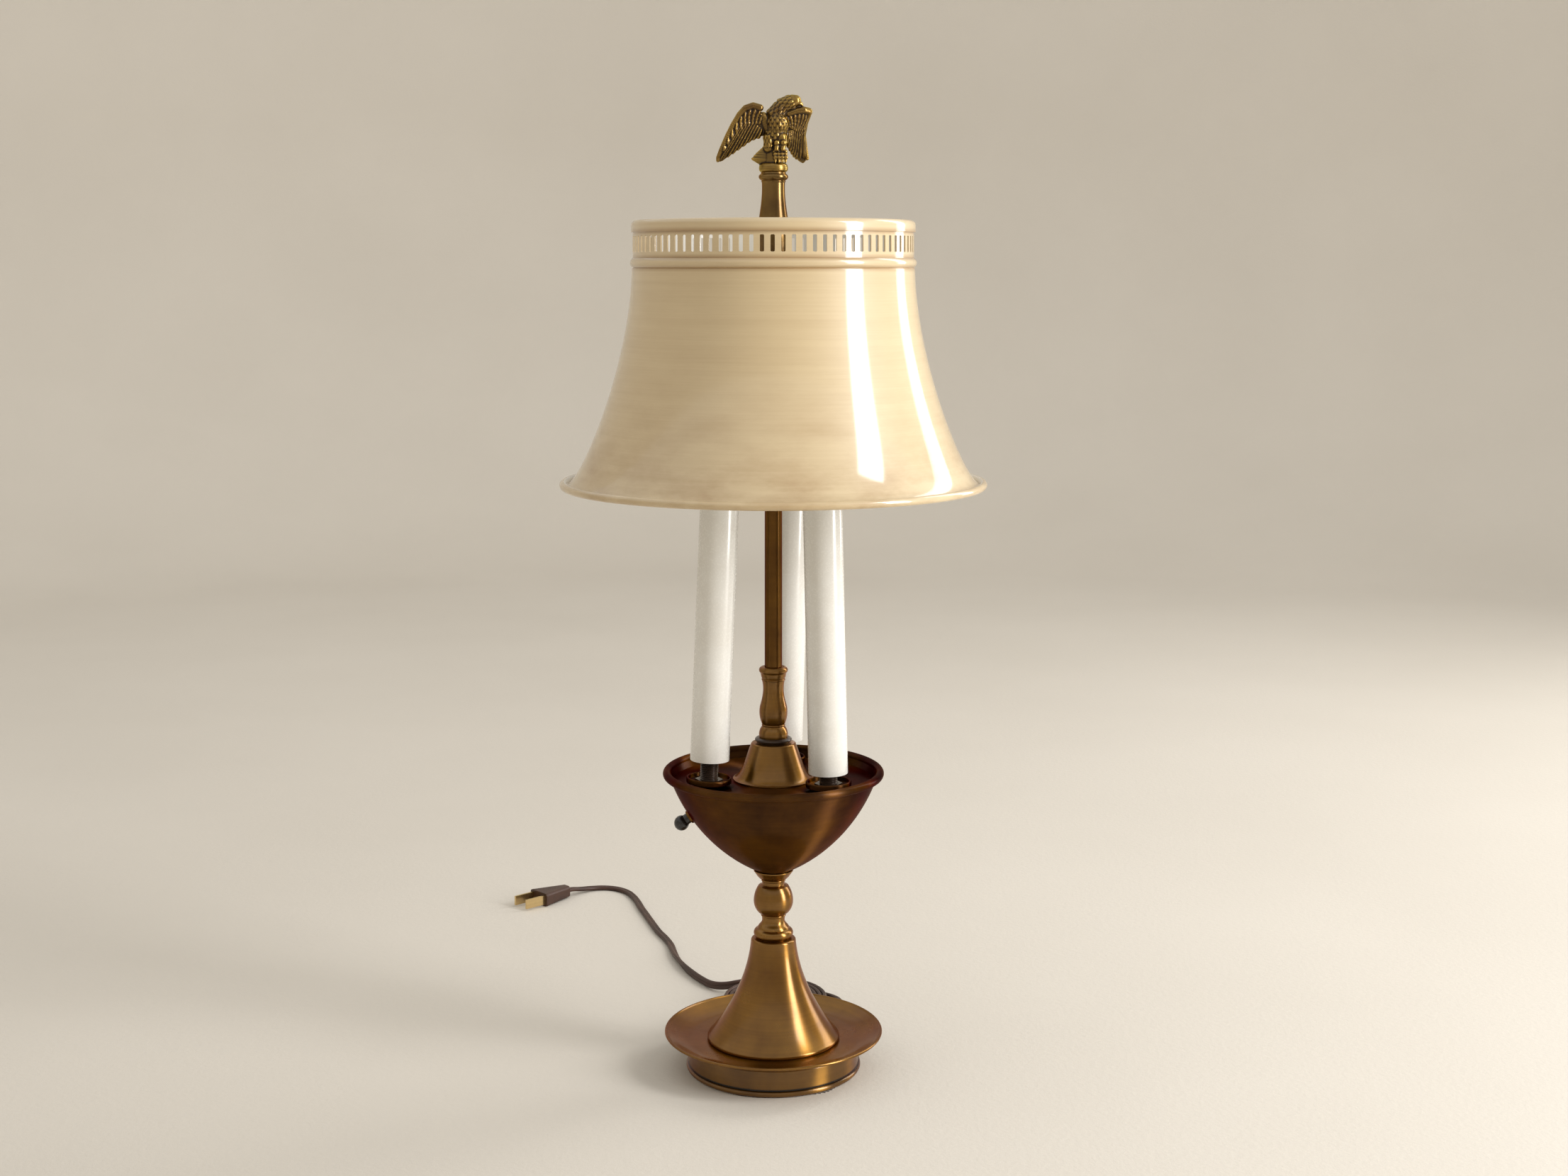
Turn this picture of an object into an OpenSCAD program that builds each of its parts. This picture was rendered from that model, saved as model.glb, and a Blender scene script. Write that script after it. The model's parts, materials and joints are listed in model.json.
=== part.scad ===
// Three-candle table lamp with a sheet metal shade and an eagle finial.
// Millimetres, +Z up. The origin is on the table, on the lamp's axis. The front faces -Y.

/* [Felt and base ring] */
// Radius of the felt pad
felt_r = 44.4; // [36:0.1:44.6]
// Thickness of the felt pad
felt_t = 1.6; // [1.2:0.1:2.4]
// How far the felt stands out below the base ring
felt_proud = 0.3; // [0.3:0.1:1]
// Outer radius of the base ring's wall
base_r = 48; // [47:0.1:50]
// Height of the base ring from its lower edge to its top
base_h = 14.7; // [14:0.1:20]
// Sheet thickness of the base ring
base_wall = 1; // [0.8:0.1:1.4]
// Diameter of the rolled lower edge of the base ring
base_bead_d = 3.2; // [2.4:0.1:3.6]
// How far that edge stands out beyond the wall
base_bead_out = 1.2; // [0.8:0.1:1.6]
// Radius of the base ring's top corner
base_corner = 1.6; // [1.5:0.1:3]

/* [Base weight] */
// Radius of the recess under the weight
recess_r = 20; // [14:0.5:30]
// Iron left above that recess
weight_web = 2.9; // [2:0.1:4]
// Width of the channel for the cord
channel_w = 8; // [7:0.5:12]

/* [Saucer] */
// Outer radius of the saucer
saucer_r = 61.5; // [54:0.5:70]
// Sheet thickness of the saucer
saucer_t = 1; // [0.8:0.1:1.4]
// Height of the saucer's edge above its underside
saucer_rise = 6.1; // [4:0.1:9]
// Radius of the flat middle of the saucer
saucer_flat_r = 46; // [40:0.5:48]
// Diameter of the saucer's rolled edge
saucer_bead_d = 1.5; // [1.2:0.1:2]

/* [Bell] */
// Radius of the bell's foot
bell_r = 37.3; // [30:0.1:44]
// Height of the bell
bell_h = 56.5; // [48:0.5:66]
// Radius at the top of the bell
bell_top_r = 12.7; // [12:0.1:15]
// Sheet thickness of the bell
bell_wall = 1.2; // [0.8:0.1:1.6]

/* [Turned stem] */
// Height of the turned stem
stem_h = 33.5; // [32:0.5:40]
// Largest radius of the stem's ball
stem_ball_r = 11.2; // [10.5:0.1:13]
// Radius of the stem's necks
stem_neck_r = 6.4; // [6:0.1:7]
// Outer radius of the ring at the foot of the stem
stem_ring_r = 11.2; // [10.6:0.1:12.4]
// Height of the cup under the bowl
cup_h = 5; // [4.5:0.1:7]
// Radius of the cup's edge
cup_r = 11.2; // [10.8:0.1:12.6]

/* [Bowl] */
// Radius of the bowl at the middle of its rolled edge
bowl_r = 60.3; // [57:0.1:64]
// Depth of the bowl from its bottom to the middle of its rolled edge
bowl_depth = 55; // [52:0.5:60]
// Radius of the arc that the bowl was spun to
bowl_arc_r = 94.9; // [90:0.1:100]
// Sheet thickness of the bowl
bowl_wall = 1; // [0.8:0.1:1.4]
// Diameter of the bowl's rolled edge
bowl_bead_d = 4.6; // [3.6:0.1:5.4]
// How far the plate in the bowl lies below the middle of the rolled edge
plate_drop = 4; // [3:0.1:6]
// Thickness of that plate
plate_t = 1; // [0.8:0.1:1.4]

/* [Cone, ring and vase] */
// Radius of the cone's foot
cone_foot_r = 22.9; // [20:0.1:25]
// Radius at the top of the cone
cone_top_r = 12.8; // [11:0.1:14]
// Height of the cone
cone_h = 21; // [18:0.5:26]
// Sheet thickness of the cone
cone_wall = 1; // [0.8:0.1:1.4]
// Height of the dark ring on the cone
ring_h = 3; // [2.6:0.1:4]
// Outer radius of the dark ring
ring_r = 10.5; // [9.8:0.1:12]
// Height of the vase
vase_h = 40; // [39:0.5:50]

/* [Pipes] */
// Outer radius of the threaded pipe through the base, bell and bowl
pipe_r = 4.95; // [4.6:0.05:5]
// Outer radius of the rod that carries the shade
rod_r = 4.95; // [4.6:0.05:5]
// Radius of the bore in the pipe and the rod
pipe_bore_r = 3.6; // [3.2:0.1:3.8]
// Length of rod between the vase and the shade's seat
rod_free = 224; // [200:1:260]
// Radial clearance of a part that a pipe passes through
pass_gap = 0.1; // [0.05:0.05:0.3]
// Height of a pipe nut
nut_h = 3; // [2.5:0.1:4]
// Half the width of a pipe nut across its flats
nut_r = 8; // [7:0.1:9.5]

/* [Shade] */
// Outer radius at the top of the shade's body
shade_top_r = 80.2; // [76:0.1:86]
// Radius of the shade at the middle of its rolled lower edge
shade_rim_r = 118.6; // [108:0.1:128]
// Height of the shade's body, from the middle of its lower edge
shade_h = 121.6; // [100:1:140]
// Sheet thickness of the shade
shade_wall = 0.8; // [0.6:0.05:1]
// Diameter of the rolled lower edge
shade_bead_d = 4.4; // [3.6:0.1:5]
// Diameter of the swaged bead at the top of the body
top_bead_d = 5.6; // [5:0.1:6.4]
// Height of the pierced gallery
gallery_h = 14.4; // [12:0.1:20]
// Number of slots in the gallery
slot_count = 88; // [60:1:90]
// Width of a slot
slot_w = 2.3; // [1.6:0.1:2.8]
// Height of a slot
slot_h = 9.1; // [6:0.1:10]
// Height of the rolled cap on the gallery
cap_h = 7; // [5:0.1:9]
// Radius of the cap's rounded shoulder
cap_corner = 3; // [2:0.1:4]

/* [Shade carrier] */
// Height of the seat that the shade rests on
seat_h = 3.5; // [2.5:0.1:5]
// Thickness of the spider's hub and arms
spider_t = 1.5; // [1.2:0.1:2]
// Radius of the spider's hub
hub_r = 10; // [9:0.1:12]
// Width of a spider arm
arm_w = 6; // [4:0.1:9]
// Depth of the tab at the end of an arm
tab_h = 8; // [5:0.5:12]
// Height of the hub above the middle of the shade's top bead
hub_above_bead = -1.1; // [-1.3:0.1:-0.5]

/* [Finial] */
// Height of the turned neck of the finial
neck_h = 50.8; // [44:0.1:60]
// Radius at the foot of the neck
neck_foot_r = 9.5; // [8.8:0.1:11]
// Radius where the neck is thinnest, near its top
neck_waist_r = 6.6; // [5.6:0.1:7.4]
// Length of thread on the rod above the spider
rod_thread = 16; // [12:0.5:20]
// Radial clearance of the finial on the rod's thread
thread_gap = 0.05; // [0.03:0.01:0.1]
// Height of the eagle with its rock
eagle_h = 44.3; // [38:0.1:50]

/* [Candles] */
// Radius of the circle that the candles stand on
candle_circle_r = 39; // [36:0.1:42]
// Lean of the left candle towards the right
lean_left = 2.2; // [-1:0.1:3]
// Lean of the right candle towards the right
lean_right = -1.2; // [-3:0.1:1]
// Lean of the back candle towards the right
lean_back = 1.7; // [-2:0.1:3]
// Outer radius of a candle sleeve
cover_r = 11; // [10.6:0.1:12]
// Wall of a candle sleeve
cover_wall = 0.8; // [0.6:0.05:1]
// Length of a candle sleeve
cover_len = 152.4; // [130:0.1:165]
// Inner radius of the lip at the top of a sleeve
lip_bore_r = 8; // [7.4:0.1:9]
// Thickness of that lip
lip_t = 1.2; // [0.8:0.1:2]
// Height of the left sleeve's lower end above the plate
raise_left = 14.5; // [8:0.1:18]
// Height of the right sleeve's lower end above the plate
raise_right = 9.3; // [8:0.1:18]
// Height of the back sleeve's lower end above the plate
raise_back = 14.1; // [8:0.1:18]
// Outer radius of a candle nipple
nipple_r = 5.05; // [4.8:0.05:5.2]
// Radius of a candle nipple's bore
nipple_bore_r = 3.3; // [3:0.1:3.6]
// Height of a candle nipple above the plate
nipple_up = 27; // [24:0.5:34]
// Length of a candle nipple below the plate
nipple_down = 5; // [4.5:0.1:6]
// Outer radius of a drip dish
dish_r = 12.7; // [11.8:0.1:14]
// Height of a drip dish
dish_h = 5; // [4.6:0.1:6.5]
// Radius of a drip dish's foot
dish_foot_r = 8; // [7.2:0.1:8.6]
// Sheet thickness of a drip dish
dish_wall = 0.8; // [0.6:0.1:1]

/* [Sockets] */
// Outer radius of a socket
socket_r = 9.8; // [9.4:0.05:9.9]
// Height of a socket
socket_h = 28; // [26:0.5:34]
// Inner radius of the screw shell
shell_bore_r = 6.1; // [5.9:0.05:6.3]
// Wall of the screw shell
shell_wall = 0.5; // [0.4:0.05:0.6]
// Length of the screw shell
shell_len = 18; // [16:0.5:20]
// Depth of the screw shell's edge below the socket's top
shell_sunk = 3; // [2:0.1:4]
// Thickness of a socket strap
strap_t = 1; // [0.8:0.1:1.2]
// Width of a socket strap
strap_w = 7; // [5:0.1:8]

/* [Switch] */
// Angle of the switch below the horizontal
switch_angle = 36; // [30:0.5:42]
// Radius of the switch body
switch_r = 7.5; // [6:0.1:8]
// Length of the switch body
switch_len = 12; // [9:0.5:13]
// Radius of the switch's threaded bushing
bushing_r = 3.2; // [2.8:0.1:3.6]
// Radius of the knob's shaft
shaft_r = 1.8; // [1.4:0.1:2]
// Radius of the round knob
knob_r = 4.25; // [3.5:0.05:5.5]
// Distance of the knob's middle from the bowl
knob_out = 6.9; // [6.5:0.1:9]

/* [Cord and plug] */
// Width of the flat two-core cord
cord_w = 4.8; // [4.4:0.1:5.2]
// Thickness of the flat cord
cord_t = 2.6; // [2.2:0.1:2.8]
// Direction in which the cord leaves the base, from +X
exit_az = 60; // [55:1:65]
// Height of the cord's inlet
inlet_z = 8; // [7.8:0.1:8.6]
// Length of the tapered sleeve on the cord
sleeve_len = 20; // [20:0.5:21]
// Innermost radius of the stored coil
coil_in_r = 21; // [20:0.5:22]
// Step from one turn of the coil to the next
coil_step = 2.9; // [2.8:0.05:3.2]
// Step from one layer of the coil to the next
layer_step = 5.3; // [5.2:0.05:5.6]
// Length of the plug's body
plug_len = 25; // [20:0.5:32]
// Width of the plug's body
plug_w = 19; // [17:0.5:24]
// Height of the plug's body
plug_h = 9; // [8:0.1:12]
// Length of a plug blade
blade_len = 16; // [15:0.5:18]
// Width of a plug blade
blade_w = 6.3; // [5.5:0.1:7]
// Thickness of a plug blade
blade_t = 1.5; // [1.2:0.1:1.8]
// Distance between the plug blades
blade_gap = 12.7; // [12:0.1:13]

/* [Hidden] */
$fn = 96;
brass = "#b3914f";
dark_brass = "#7a5a34";
cream = "#d9cdb0";
white = "#eeece6";
steel = "#a9abad";
iron = "#4a4846";
dark_brown = "#3a2a20";
black = "#1d1c1c";

candle_names = ["left", "right", "back"];
candle_az = [202, 322, 82];
candle_lean = [lean_left, lean_right, lean_back];
candle_raise = [raise_left, raise_right, raise_back];

// Heights of the stack, from the table up
base_bead_r = base_bead_d / 2;
base_top_z = felt_proud + base_h;
saucer_top_z = base_top_z + saucer_t;
bell_top_z = saucer_top_z + bell_h;
stem_top_z = bell_top_z + stem_h;
bowl_z = stem_top_z + cup_h;
bowl_rim_z = bowl_z + bowl_depth;
plate_z = bowl_rim_z - plate_drop;
cone_top_z = plate_z + cone_h;
ring_top_z = cone_top_z + ring_h;
vase_top_z = ring_top_z + vase_h;
seat_z = vase_top_z + rod_free;
hub_z = seat_z + seat_h;
hub_top_z = hub_z + spider_t;

// Base weight, between the felt and the ring's top
weight_gap = 0.2;
base_bead_at_r = base_r + base_bead_out - base_bead_r;
weight_r = base_bead_at_r - base_bead_r - weight_gap;
weight_top_z = base_top_z - base_wall;
recess_top_z = weight_top_z - weight_web;
washer_t = 1;
base_nut_z = recess_top_z - washer_t - nut_h;
thread_out = 0.5;
pipe_bottom_z = base_nut_z - thread_out;
nut_gap = 0.05;

// Centre of the bowl's arc, from the radius of its rolled edge and of its flat bottom
bowl_bead_r = bowl_bead_d / 2;
bowl_edge_r = bowl_r - bowl_bead_r * 0.4;
bowl_flat_r = 9.8;
bowl_chord = [bowl_edge_r - bowl_flat_r, bowl_depth];
bowl_chord_half = norm(bowl_chord) / 2;
bowl_sagitta_leg = sqrt(bowl_arc_r * bowl_arc_r - bowl_chord_half * bowl_chord_half);
bowl_side = [-bowl_chord[1], bowl_chord[0]] / norm(bowl_chord);
bowl_centre = [bowl_flat_r, bowl_z] + bowl_chord / 2 + bowl_side * bowl_sagitta_leg;
bowl_inner_r = bowl_arc_r - bowl_wall;
plate_seat_dz = bowl_centre[1] - (plate_z - plate_t);
plate_gap = 0.15;
plate_r = bowl_centre[0] + sqrt(bowl_inner_r * bowl_inner_r - plate_seat_dz * plate_seat_dz) - plate_gap;

// Pipe and rod inside the vase
pipe_in_vase = 14;
rod_in_vase = 22;
pipe_top_z = ring_top_z + pipe_in_vase;
rod_bottom_z = vase_top_z - rod_in_vase;
rod_top_z = hub_top_z + rod_thread;
window_z = [bowl_z + 10, bowl_z + 24];
window_w = 5.6;

// Shade, placed from the spider's hub
top_bead_r = top_bead_d / 2;
top_bead_z = hub_z - hub_above_bead;
bead_bulge = 1.5;
bead_arc_r = (top_bead_r * top_bead_r + bead_bulge * bead_bulge) / (2 * bead_bulge);
bead_arc_half = asin(top_bead_r / bead_arc_r);
shade_shell_top_z = top_bead_z - top_bead_r - 0.3;
shade_bead_r = shade_bead_d / 2;
shade_rim_z = shade_shell_top_z - shade_h;
gallery_r = shade_top_r - 0.5;
gallery_z = top_bead_z + top_bead_r;
cap_z = gallery_z + gallery_h;
cap_top_z = cap_z + cap_h;
cap_r = gallery_r + 0.9;
cap_lip_r = cap_r - 4.6;
slot_z = gallery_z + 3.2;
arm_az = [22, 142, 262];
tab_gap = 0.3;
tab_r = shade_top_r - shade_wall - tab_gap;

// Finial, on the rod's thread
rest_gap = 0.2;
finial_z = hub_top_z + rest_gap;
finial_bore_r = rod_r + thread_gap;
finial_bore_top_z = rod_top_z + 0.8;
rock_z = finial_z + neck_h;

// Candles, in a frame whose origin is on the plate and whose Z leans with the candle
lean_max = max([for (a = candle_lean) abs(a)]);
dish_lift = dish_foot_r * sin(lean_max) + 0.05;
candle_nut_r = 6.8;
candle_nut_h = 2.6;
nut_under_gap = candle_nut_r * 1.16 * sin(lean_max) + 0.05;
strap_z = nipple_up - 3;
strap_x = 6.2;
cover_bore_r = cover_r - cover_wall;
shell_r = shell_bore_r + shell_wall;
shell_gap = 0.1;
contact_r = 2.4;
contact_t = 1.2;
ledge_r = shell_bore_r - 0.6;
socket_floor = socket_h - shell_sunk - shell_len - 3;
lead_d = 2;
lead_x = -4.6;

// Switch, in a frame whose origin is on the bowl and whose Z points out of it
switch_at = bowl_centre + bowl_arc_r * [cos(switch_angle), -sin(switch_angle)];
shaft_gap = 0.08;
bushing_gap = 0.15;
switch_face = -bowl_wall - 0.8;
shaft_in = -8.6;
face_nut_h = 1.5;
face_nut_r = bushing_r + 0.7;

// Cord route, outside the base
bushing_flange_r = 3.8;
bushing_neck_r = 3;
bushing_out = base_r + 0.2;
sleeve_end = bushing_out + 1.4 + sleeve_len;
exit_dir = [cos(exit_az), sin(exit_az), 0];
exit_point = exit_dir * sleeve_end + [0, 0, inlet_z];
coil_turns_in = 4;
coil_turns_out = 3.6;
coil_start_az = 60;
coil_out_r = coil_in_r + coil_step * coil_turns_in;
tie_t = 0.6;
tie_gap = 0.25;
coil_room = 1.6;
coil_centre = [
    0, base_r + base_bead_out + coil_room + coil_out_r + cord_t / 2, tie_t + tie_gap / 2 + cord_w / 2
];
coil_dip = 0.6;
loop_rings = 24;
coil_sides = 6;
cord_sides = 8;
lead_points = [
    [39.6, 73.4, 7.4], [39.9, 83.6, 6.3], [36.9, 93.6, 4.9], [31.2, 102.0, 3.8]
];
run_points = [
    [-15.0, 116.4, 7.8], [-22.5, 116.6, 6.5], [-29.5, 118.0, 4.9], [-35.5, 121.6, 3.6],
    [-40.5, 127.0, 2.8], [-44.5, 133.2, 2.6], [-49.0, 141.0, 2.55], [-54.0, 151.0, 2.55],
    [-58.0, 161.0, 2.45], [-61.5, 172.0, 2.25], [-64.5, 183.0, 2.0], [-67.0, 195.0, 1.7],
    [-69.5, 208.0, 1.5], [-73.5, 221.0, 1.5], [-78.5, 234.0, 1.5], [-82.5, 247.0, 1.5],
    [-86.5, 261.0, 1.5], [-90.5, 275.0, 1.5], [-94.5, 289.0, 1.5], [-98.0, 303.0, 1.5],
    [-102.0, 315.5, 1.5], [-107.0, 326.0, 1.5], [-114.5, 333.5, 1.5], [-124.0, 336.5, 1.6],
    [-133.5, 334.0, 2.0], [-141.0, 328.0, 3.1]
];
// Where along those points the cord turns from its edge onto its flat
flat_from = 8;
flat_by = 13;
plug_az = 224;
plug_at = [-150, 319.4, plug_h / 2];
plug_dir = [cos(plug_az), sin(plug_az), 0];

// Cord inside the lamp
inner_d = 3;
bushing_in = 3;
bushing_inner_r = base_r - bushing_in;
inner_points = [
    exit_dir * (bushing_inner_r - 0.1) + [0, 0, inlet_z],
    exit_dir * (bushing_inner_r - 8) + [0, 0, inlet_z - 0.4],
    exit_dir * 27 + [0, 0, 6.2], exit_dir * 19 + [0, 0, 4.4], exit_dir * 12 + [0, 0, 3.5],
    exit_dir * 7 + [0, 0, 3.4],
    exit_dir * 3.2 + [0, 0, 4.1], exit_dir * 0.9 + [0, 0, 6.4], [0, 0, 10], [0, 0, bowl_z + 4],
    [0.3, 0, bowl_z + 9], [2.0, 0, bowl_z + 14], [6.0, 0, bowl_z + 18.5], [10.0, 0, bowl_z + 23],
    [12.0, 0, bowl_z + 29], [14.0, 0, bowl_z + 35], [17.5, 0, bowl_z + 38.5], [21.0, 0, bowl_z + 36],
    [22.0, 0, bowl_z + 31]
];
cap_at = [22, 0, bowl_z + 31];
switch_cap_at = [-14, 15, bowl_z + 27];
wire_cap_r = 4.4;
wire_cap_len = 14;

// The eagle, drawn at this height and then brought to eagle_h. Its points count from the
// middle of the rock's foot.
drawn_eagle_h = 44.3;
// Wing stations from the knob at the shoulder to the tip, each a point inside the rolled
// leading edge, a point on the trailing edge and the radius of the leading edge
left_wing = [
    [[-7.6, -5.2, 36.2], [-3.6, -1.6, 19.6], 2.1], [[-11.4, -6.0, 37.3], [-7.0, -2.0, 19.1], 2.0],
    [[-15.6, -5.8, 36.0], [-10.4, -1.6, 18.6], 1.9], [[-19.0, -5.2, 32.4], [-14.0, -1.0, 16.9], 1.8],
    [[-22.6, -4.2, 26.8], [-17.8, -0.6, 14.0], 1.65], [[-26.0, -3.2, 20.4], [-21.8, -0.2, 11.2], 1.5],
    [[-29.1, -2.0, 13.6], [-25.4, 0.2, 8.6], 1.4], [[-31.3, -1.0, 8.4], [-28.6, 0.4, 6.4], 1.3],
    [[-31.2, -0.8, 6.8], [-30.0, 0.2, 6.2], 1.2]
];
right_wing = [
    [[8.6, -2.6, 33.0], [4.8, 0.6, 21.0], 1.6], [[13.4, -2.2, 34.6], [6.6, 2.2, 17.6], 1.8],
    [[17.4, -1.0, 35.2], [8.1, 3.8, 14.1], 2.1], [[20.0, 1.2, 34.6], [9.4, 6.2, 11.8], 2.3],
    [[18.2, 4.2, 28.2], [10.8, 9.0, 9.6], 1.6], [[17.2, 7.4, 21.6], [12.4, 11.6, 7.8], 1.4],
    [[18.2, 10.8, 14.8], [14.2, 14.0, 6.4], 1.3], [[19.2, 13.2, 8.6], [16.6, 15.2, 5.6], 1.2]
];
primary_count = 8;
covert_count = 9;
covert_rows = 2;
belly_at = [0.9, 0, 21.5];
belly_r = 6.6;
breast_at = [2.2, -1.4, 27.6];
breast_r = 6.7;
breast_rows = 4;
shoulder_at = [0.9, -0.9, 31.6];
shoulder_r = 5.5;
nape_at = [5.0, -1.0, 37.2];
nape_r = 4.8;
crown_at = [10.7, -1.2, 40.1];
crown_r = 4.2;
beak_tip = [16.7, -1.3, 38.4];
// Layers of the rock, each its foot, its top, its left end and its radius
rock_layers = [[4.4, 7.9, -12.4, 7.9], [7.4, 10.9, -9.2, 7.1], [10.4, 14.2, -6.6, 6.2]];

// Outlines and paths

function bez(p, n) = [
    for (i = [0:n])
        let (t = i / n, u = 1 - t)
        u * u * u * p[0] + 3 * u * u * t * p[1] + 3 * u * t * t * p[2] + t * t * t * p[3]
];

function arc(centre, r, from, to, n) = [
    for (i = [0:n])
        let (a = from + (to - from) * i / n)
        centre + r * [cos(a), sin(a)]
];

function unit(v) = v / norm(v);

function reversed(v) = [for (i = [len(v) - 1:-1:0]) v[i]];

function path_way(p, i) = unit(p[min(i + 1, len(p) - 1)] - p[max(i - 1, 0)]);

// The same outline, moved sideways by t to the left of its direction
function offset_path(p, t) = [
    for (i = [0:len(p) - 1])
        let (d = path_way(p, i))
        p[i] + t * [-d[1], d[0]]
];

module sheet_2d(path, t) {
    polygon(concat(path, reversed(offset_path(path, t))));
}

// A flat shape from the axis to r, with a rounded upper corner
module shoulder_2d(r, z0, z1, corner) {
    translate([0, z0]) square([r - corner, z1 - z0]);
    translate([0, z0]) square([r, z1 - z0 - corner]);
    translate([r - corner, z1 - corner]) circle(r = corner);
}

module bead_2d(r, z, bead_r) {
    translate([r, z]) circle(r = bead_r);
}

// A ring with a rectangular section
module ring(r_in, r_out, z0, z1) {
    difference() {
        translate([0, 0, z0]) cylinder(r = r_out, h = z1 - z0);
        translate([0, 0, z0 - 1]) cylinder(r = r_in, h = z1 - z0 + 2);
    }
}

module bore(r, z0, z1) {
    translate([0, 0, z0]) cylinder(r = r, h = z1 - z0);
}

module hex_nut(flat_r, bore_r, z0, h) {
    difference() {
        translate([0, 0, z0]) cylinder(r = flat_r / cos(30), h = h, $fn = 6);
        bore(bore_r, z0 - 1, z0 + h + 1);
    }
}

// Lofts and tubes, as one closed polyhedron

function skin_faces(rings, sides) = concat(
    [[for (k = [0:sides - 1]) k]],
    [for (i = [0:rings - 2]) for (k = [0:sides - 1])
        let (a = i * sides + k, b = i * sides + (k + 1) % sides)
        each [[a, b + sides, b], [a, a + sides, b + sides]]],
    [[for (k = [sides - 1:-1:0]) (rings - 1) * sides + k]]
);

module skin(rings) {
    sides = len(rings[0]);
    polyhedron(points = [for (r = rings) each r], faces = skin_faces(len(rings), sides));
}

// Section of a cord at p, running along d, its width turned up by roll degrees
function cord_section(p, d, w, t, roll, sides, reach) =
    let (
        level = unit([-d[1], d[0], 0] + [0, 0, 0]),
        side = norm([d[0], d[1]]) < 0.01 ? [0, 1, 0] : level,
        up = cross(d, side)
    ) [
        for (k = [0:sides - 1])
            let (
                a = 360 * (k + 0.5) / sides,
                x = reach * w / 2 * cos(a),
                y = reach * t / 2 * sin(a)
            )
            p + side * (x * cos(roll) - y * sin(roll)) + up * (x * sin(roll) + y * cos(roll))
    ];

function round_sections(p, d, sides) = [
    for (i = [0:len(p) - 1]) cord_section(p[i], path_way(p, i), d, d, 0, sides, 1)
];

// Frames that carry a piece

function candle_foot(i) = [candle_circle_r * cos(candle_az[i]), candle_circle_r * sin(candle_az[i]), plate_z];

function candle_point(i, p) =
    let (a = candle_lean[i])
    candle_foot(i) + [p[0] * cos(a) + p[2] * sin(a), p[1], p[2] * cos(a) - p[0] * sin(a)];

module candle_frame(i) {
    translate(candle_foot(i)) rotate([0, candle_lean[i], 0]) children();
}

function socket_top(i) = candle_raise[i] + cover_len - lip_t - rest_gap;

module switch_frame() {
    translate([-switch_at[0], 0, switch_at[1]]) rotate([0, -90 - switch_angle, 0]) children();
}

module exit_frame() {
    rotate([0, 0, exit_az]) translate([0, 0, inlet_z]) rotate([0, 90, 0]) children();
}

// Base

module felt_pad() {
    color(dark_brown) cylinder(r = felt_r, h = felt_t);
}

module base_ring() {
    edge_z = felt_proud + base_bead_r;
    color(brass) difference() {
        rotate_extrude() {
            difference() {
                shoulder_2d(base_r, edge_z, base_top_z, base_corner);
                shoulder_2d(base_r - base_wall, edge_z - 1, base_top_z - base_wall, base_corner - base_wall);
                square([pipe_r + pass_gap, base_top_z + 1]);
            }
            bead_2d(base_bead_at_r, edge_z, base_bead_r);
        }
        exit_frame() bore(bushing_neck_r + 0.2, base_r - 6, base_r + 6);
    }
}

module base_weight() {
    color(iron) difference() {
        ring(pipe_r + pass_gap, weight_r, felt_t, weight_top_z);
        bore(recess_r, felt_t - 1, recess_top_z);
        rotate([0, 0, exit_az]) translate([recess_r / 2, -channel_w / 2, felt_t - 1])
            cube([weight_r, channel_w, inlet_z + 3.2 - felt_t + 1]);
    }
}

module cord_bushing() {
    color(dark_brown) exit_frame() rotate_extrude() {
        translate([0, bushing_inner_r]) square([bushing_neck_r, bushing_out - bushing_inner_r]);
        translate([0, bushing_out]) square([bushing_flange_r, 1.4]);
        polygon([
            [0, bushing_out + 1.4], [bushing_flange_r - 0.5, bushing_out + 1.4],
            [bushing_neck_r, sleeve_end], [0, sleeve_end]
        ]);
    }
}

module saucer() {
    edge = [saucer_r - saucer_bead_d / 2, base_top_z + saucer_rise - saucer_bead_d / 2];
    rim = bez([
        [saucer_flat_r, base_top_z], [saucer_flat_r + 6, base_top_z],
        edge - [4, 2.2], edge - [0.3, 0.4]
    ], 8);
    color(brass) rotate_extrude() {
        translate([pipe_r + pass_gap, base_top_z])
            square([saucer_flat_r - pipe_r - pass_gap + 0.01, saucer_t]);
        sheet_2d(rim, saucer_t);
        bead_2d(edge[0], edge[1], saucer_bead_d / 2);
    }
}

module bell() {
    foot_bead_r = 1.3;
    foot = [bell_r - foot_bead_r, saucer_top_z + foot_bead_r];
    shoulder = 1.3;
    foot_side = foot + foot_bead_r * [cos(45), sin(45)];
    side = bez([
        foot_side, foot_side + [-2.5, 2.5], [bell_top_r + 2.8, bell_top_z - bell_h * 0.54],
        [bell_top_r, bell_top_z - shoulder]
    ], 20);
    color(brass) rotate_extrude() {
        sheet_2d(side, bell_wall);
        bead_2d(foot[0], foot[1], foot_bead_r);
        difference() {
            shoulder_2d(bell_top_r, bell_top_z - 3, bell_top_z, shoulder);
            translate([0, bell_top_z - 4]) square([bell_top_r - bell_wall, 4 - bell_wall]);
            translate([0, bell_top_z - 4]) square([pipe_r + pass_gap, 5]);
        }
    }
}

// Stem and bowl

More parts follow.
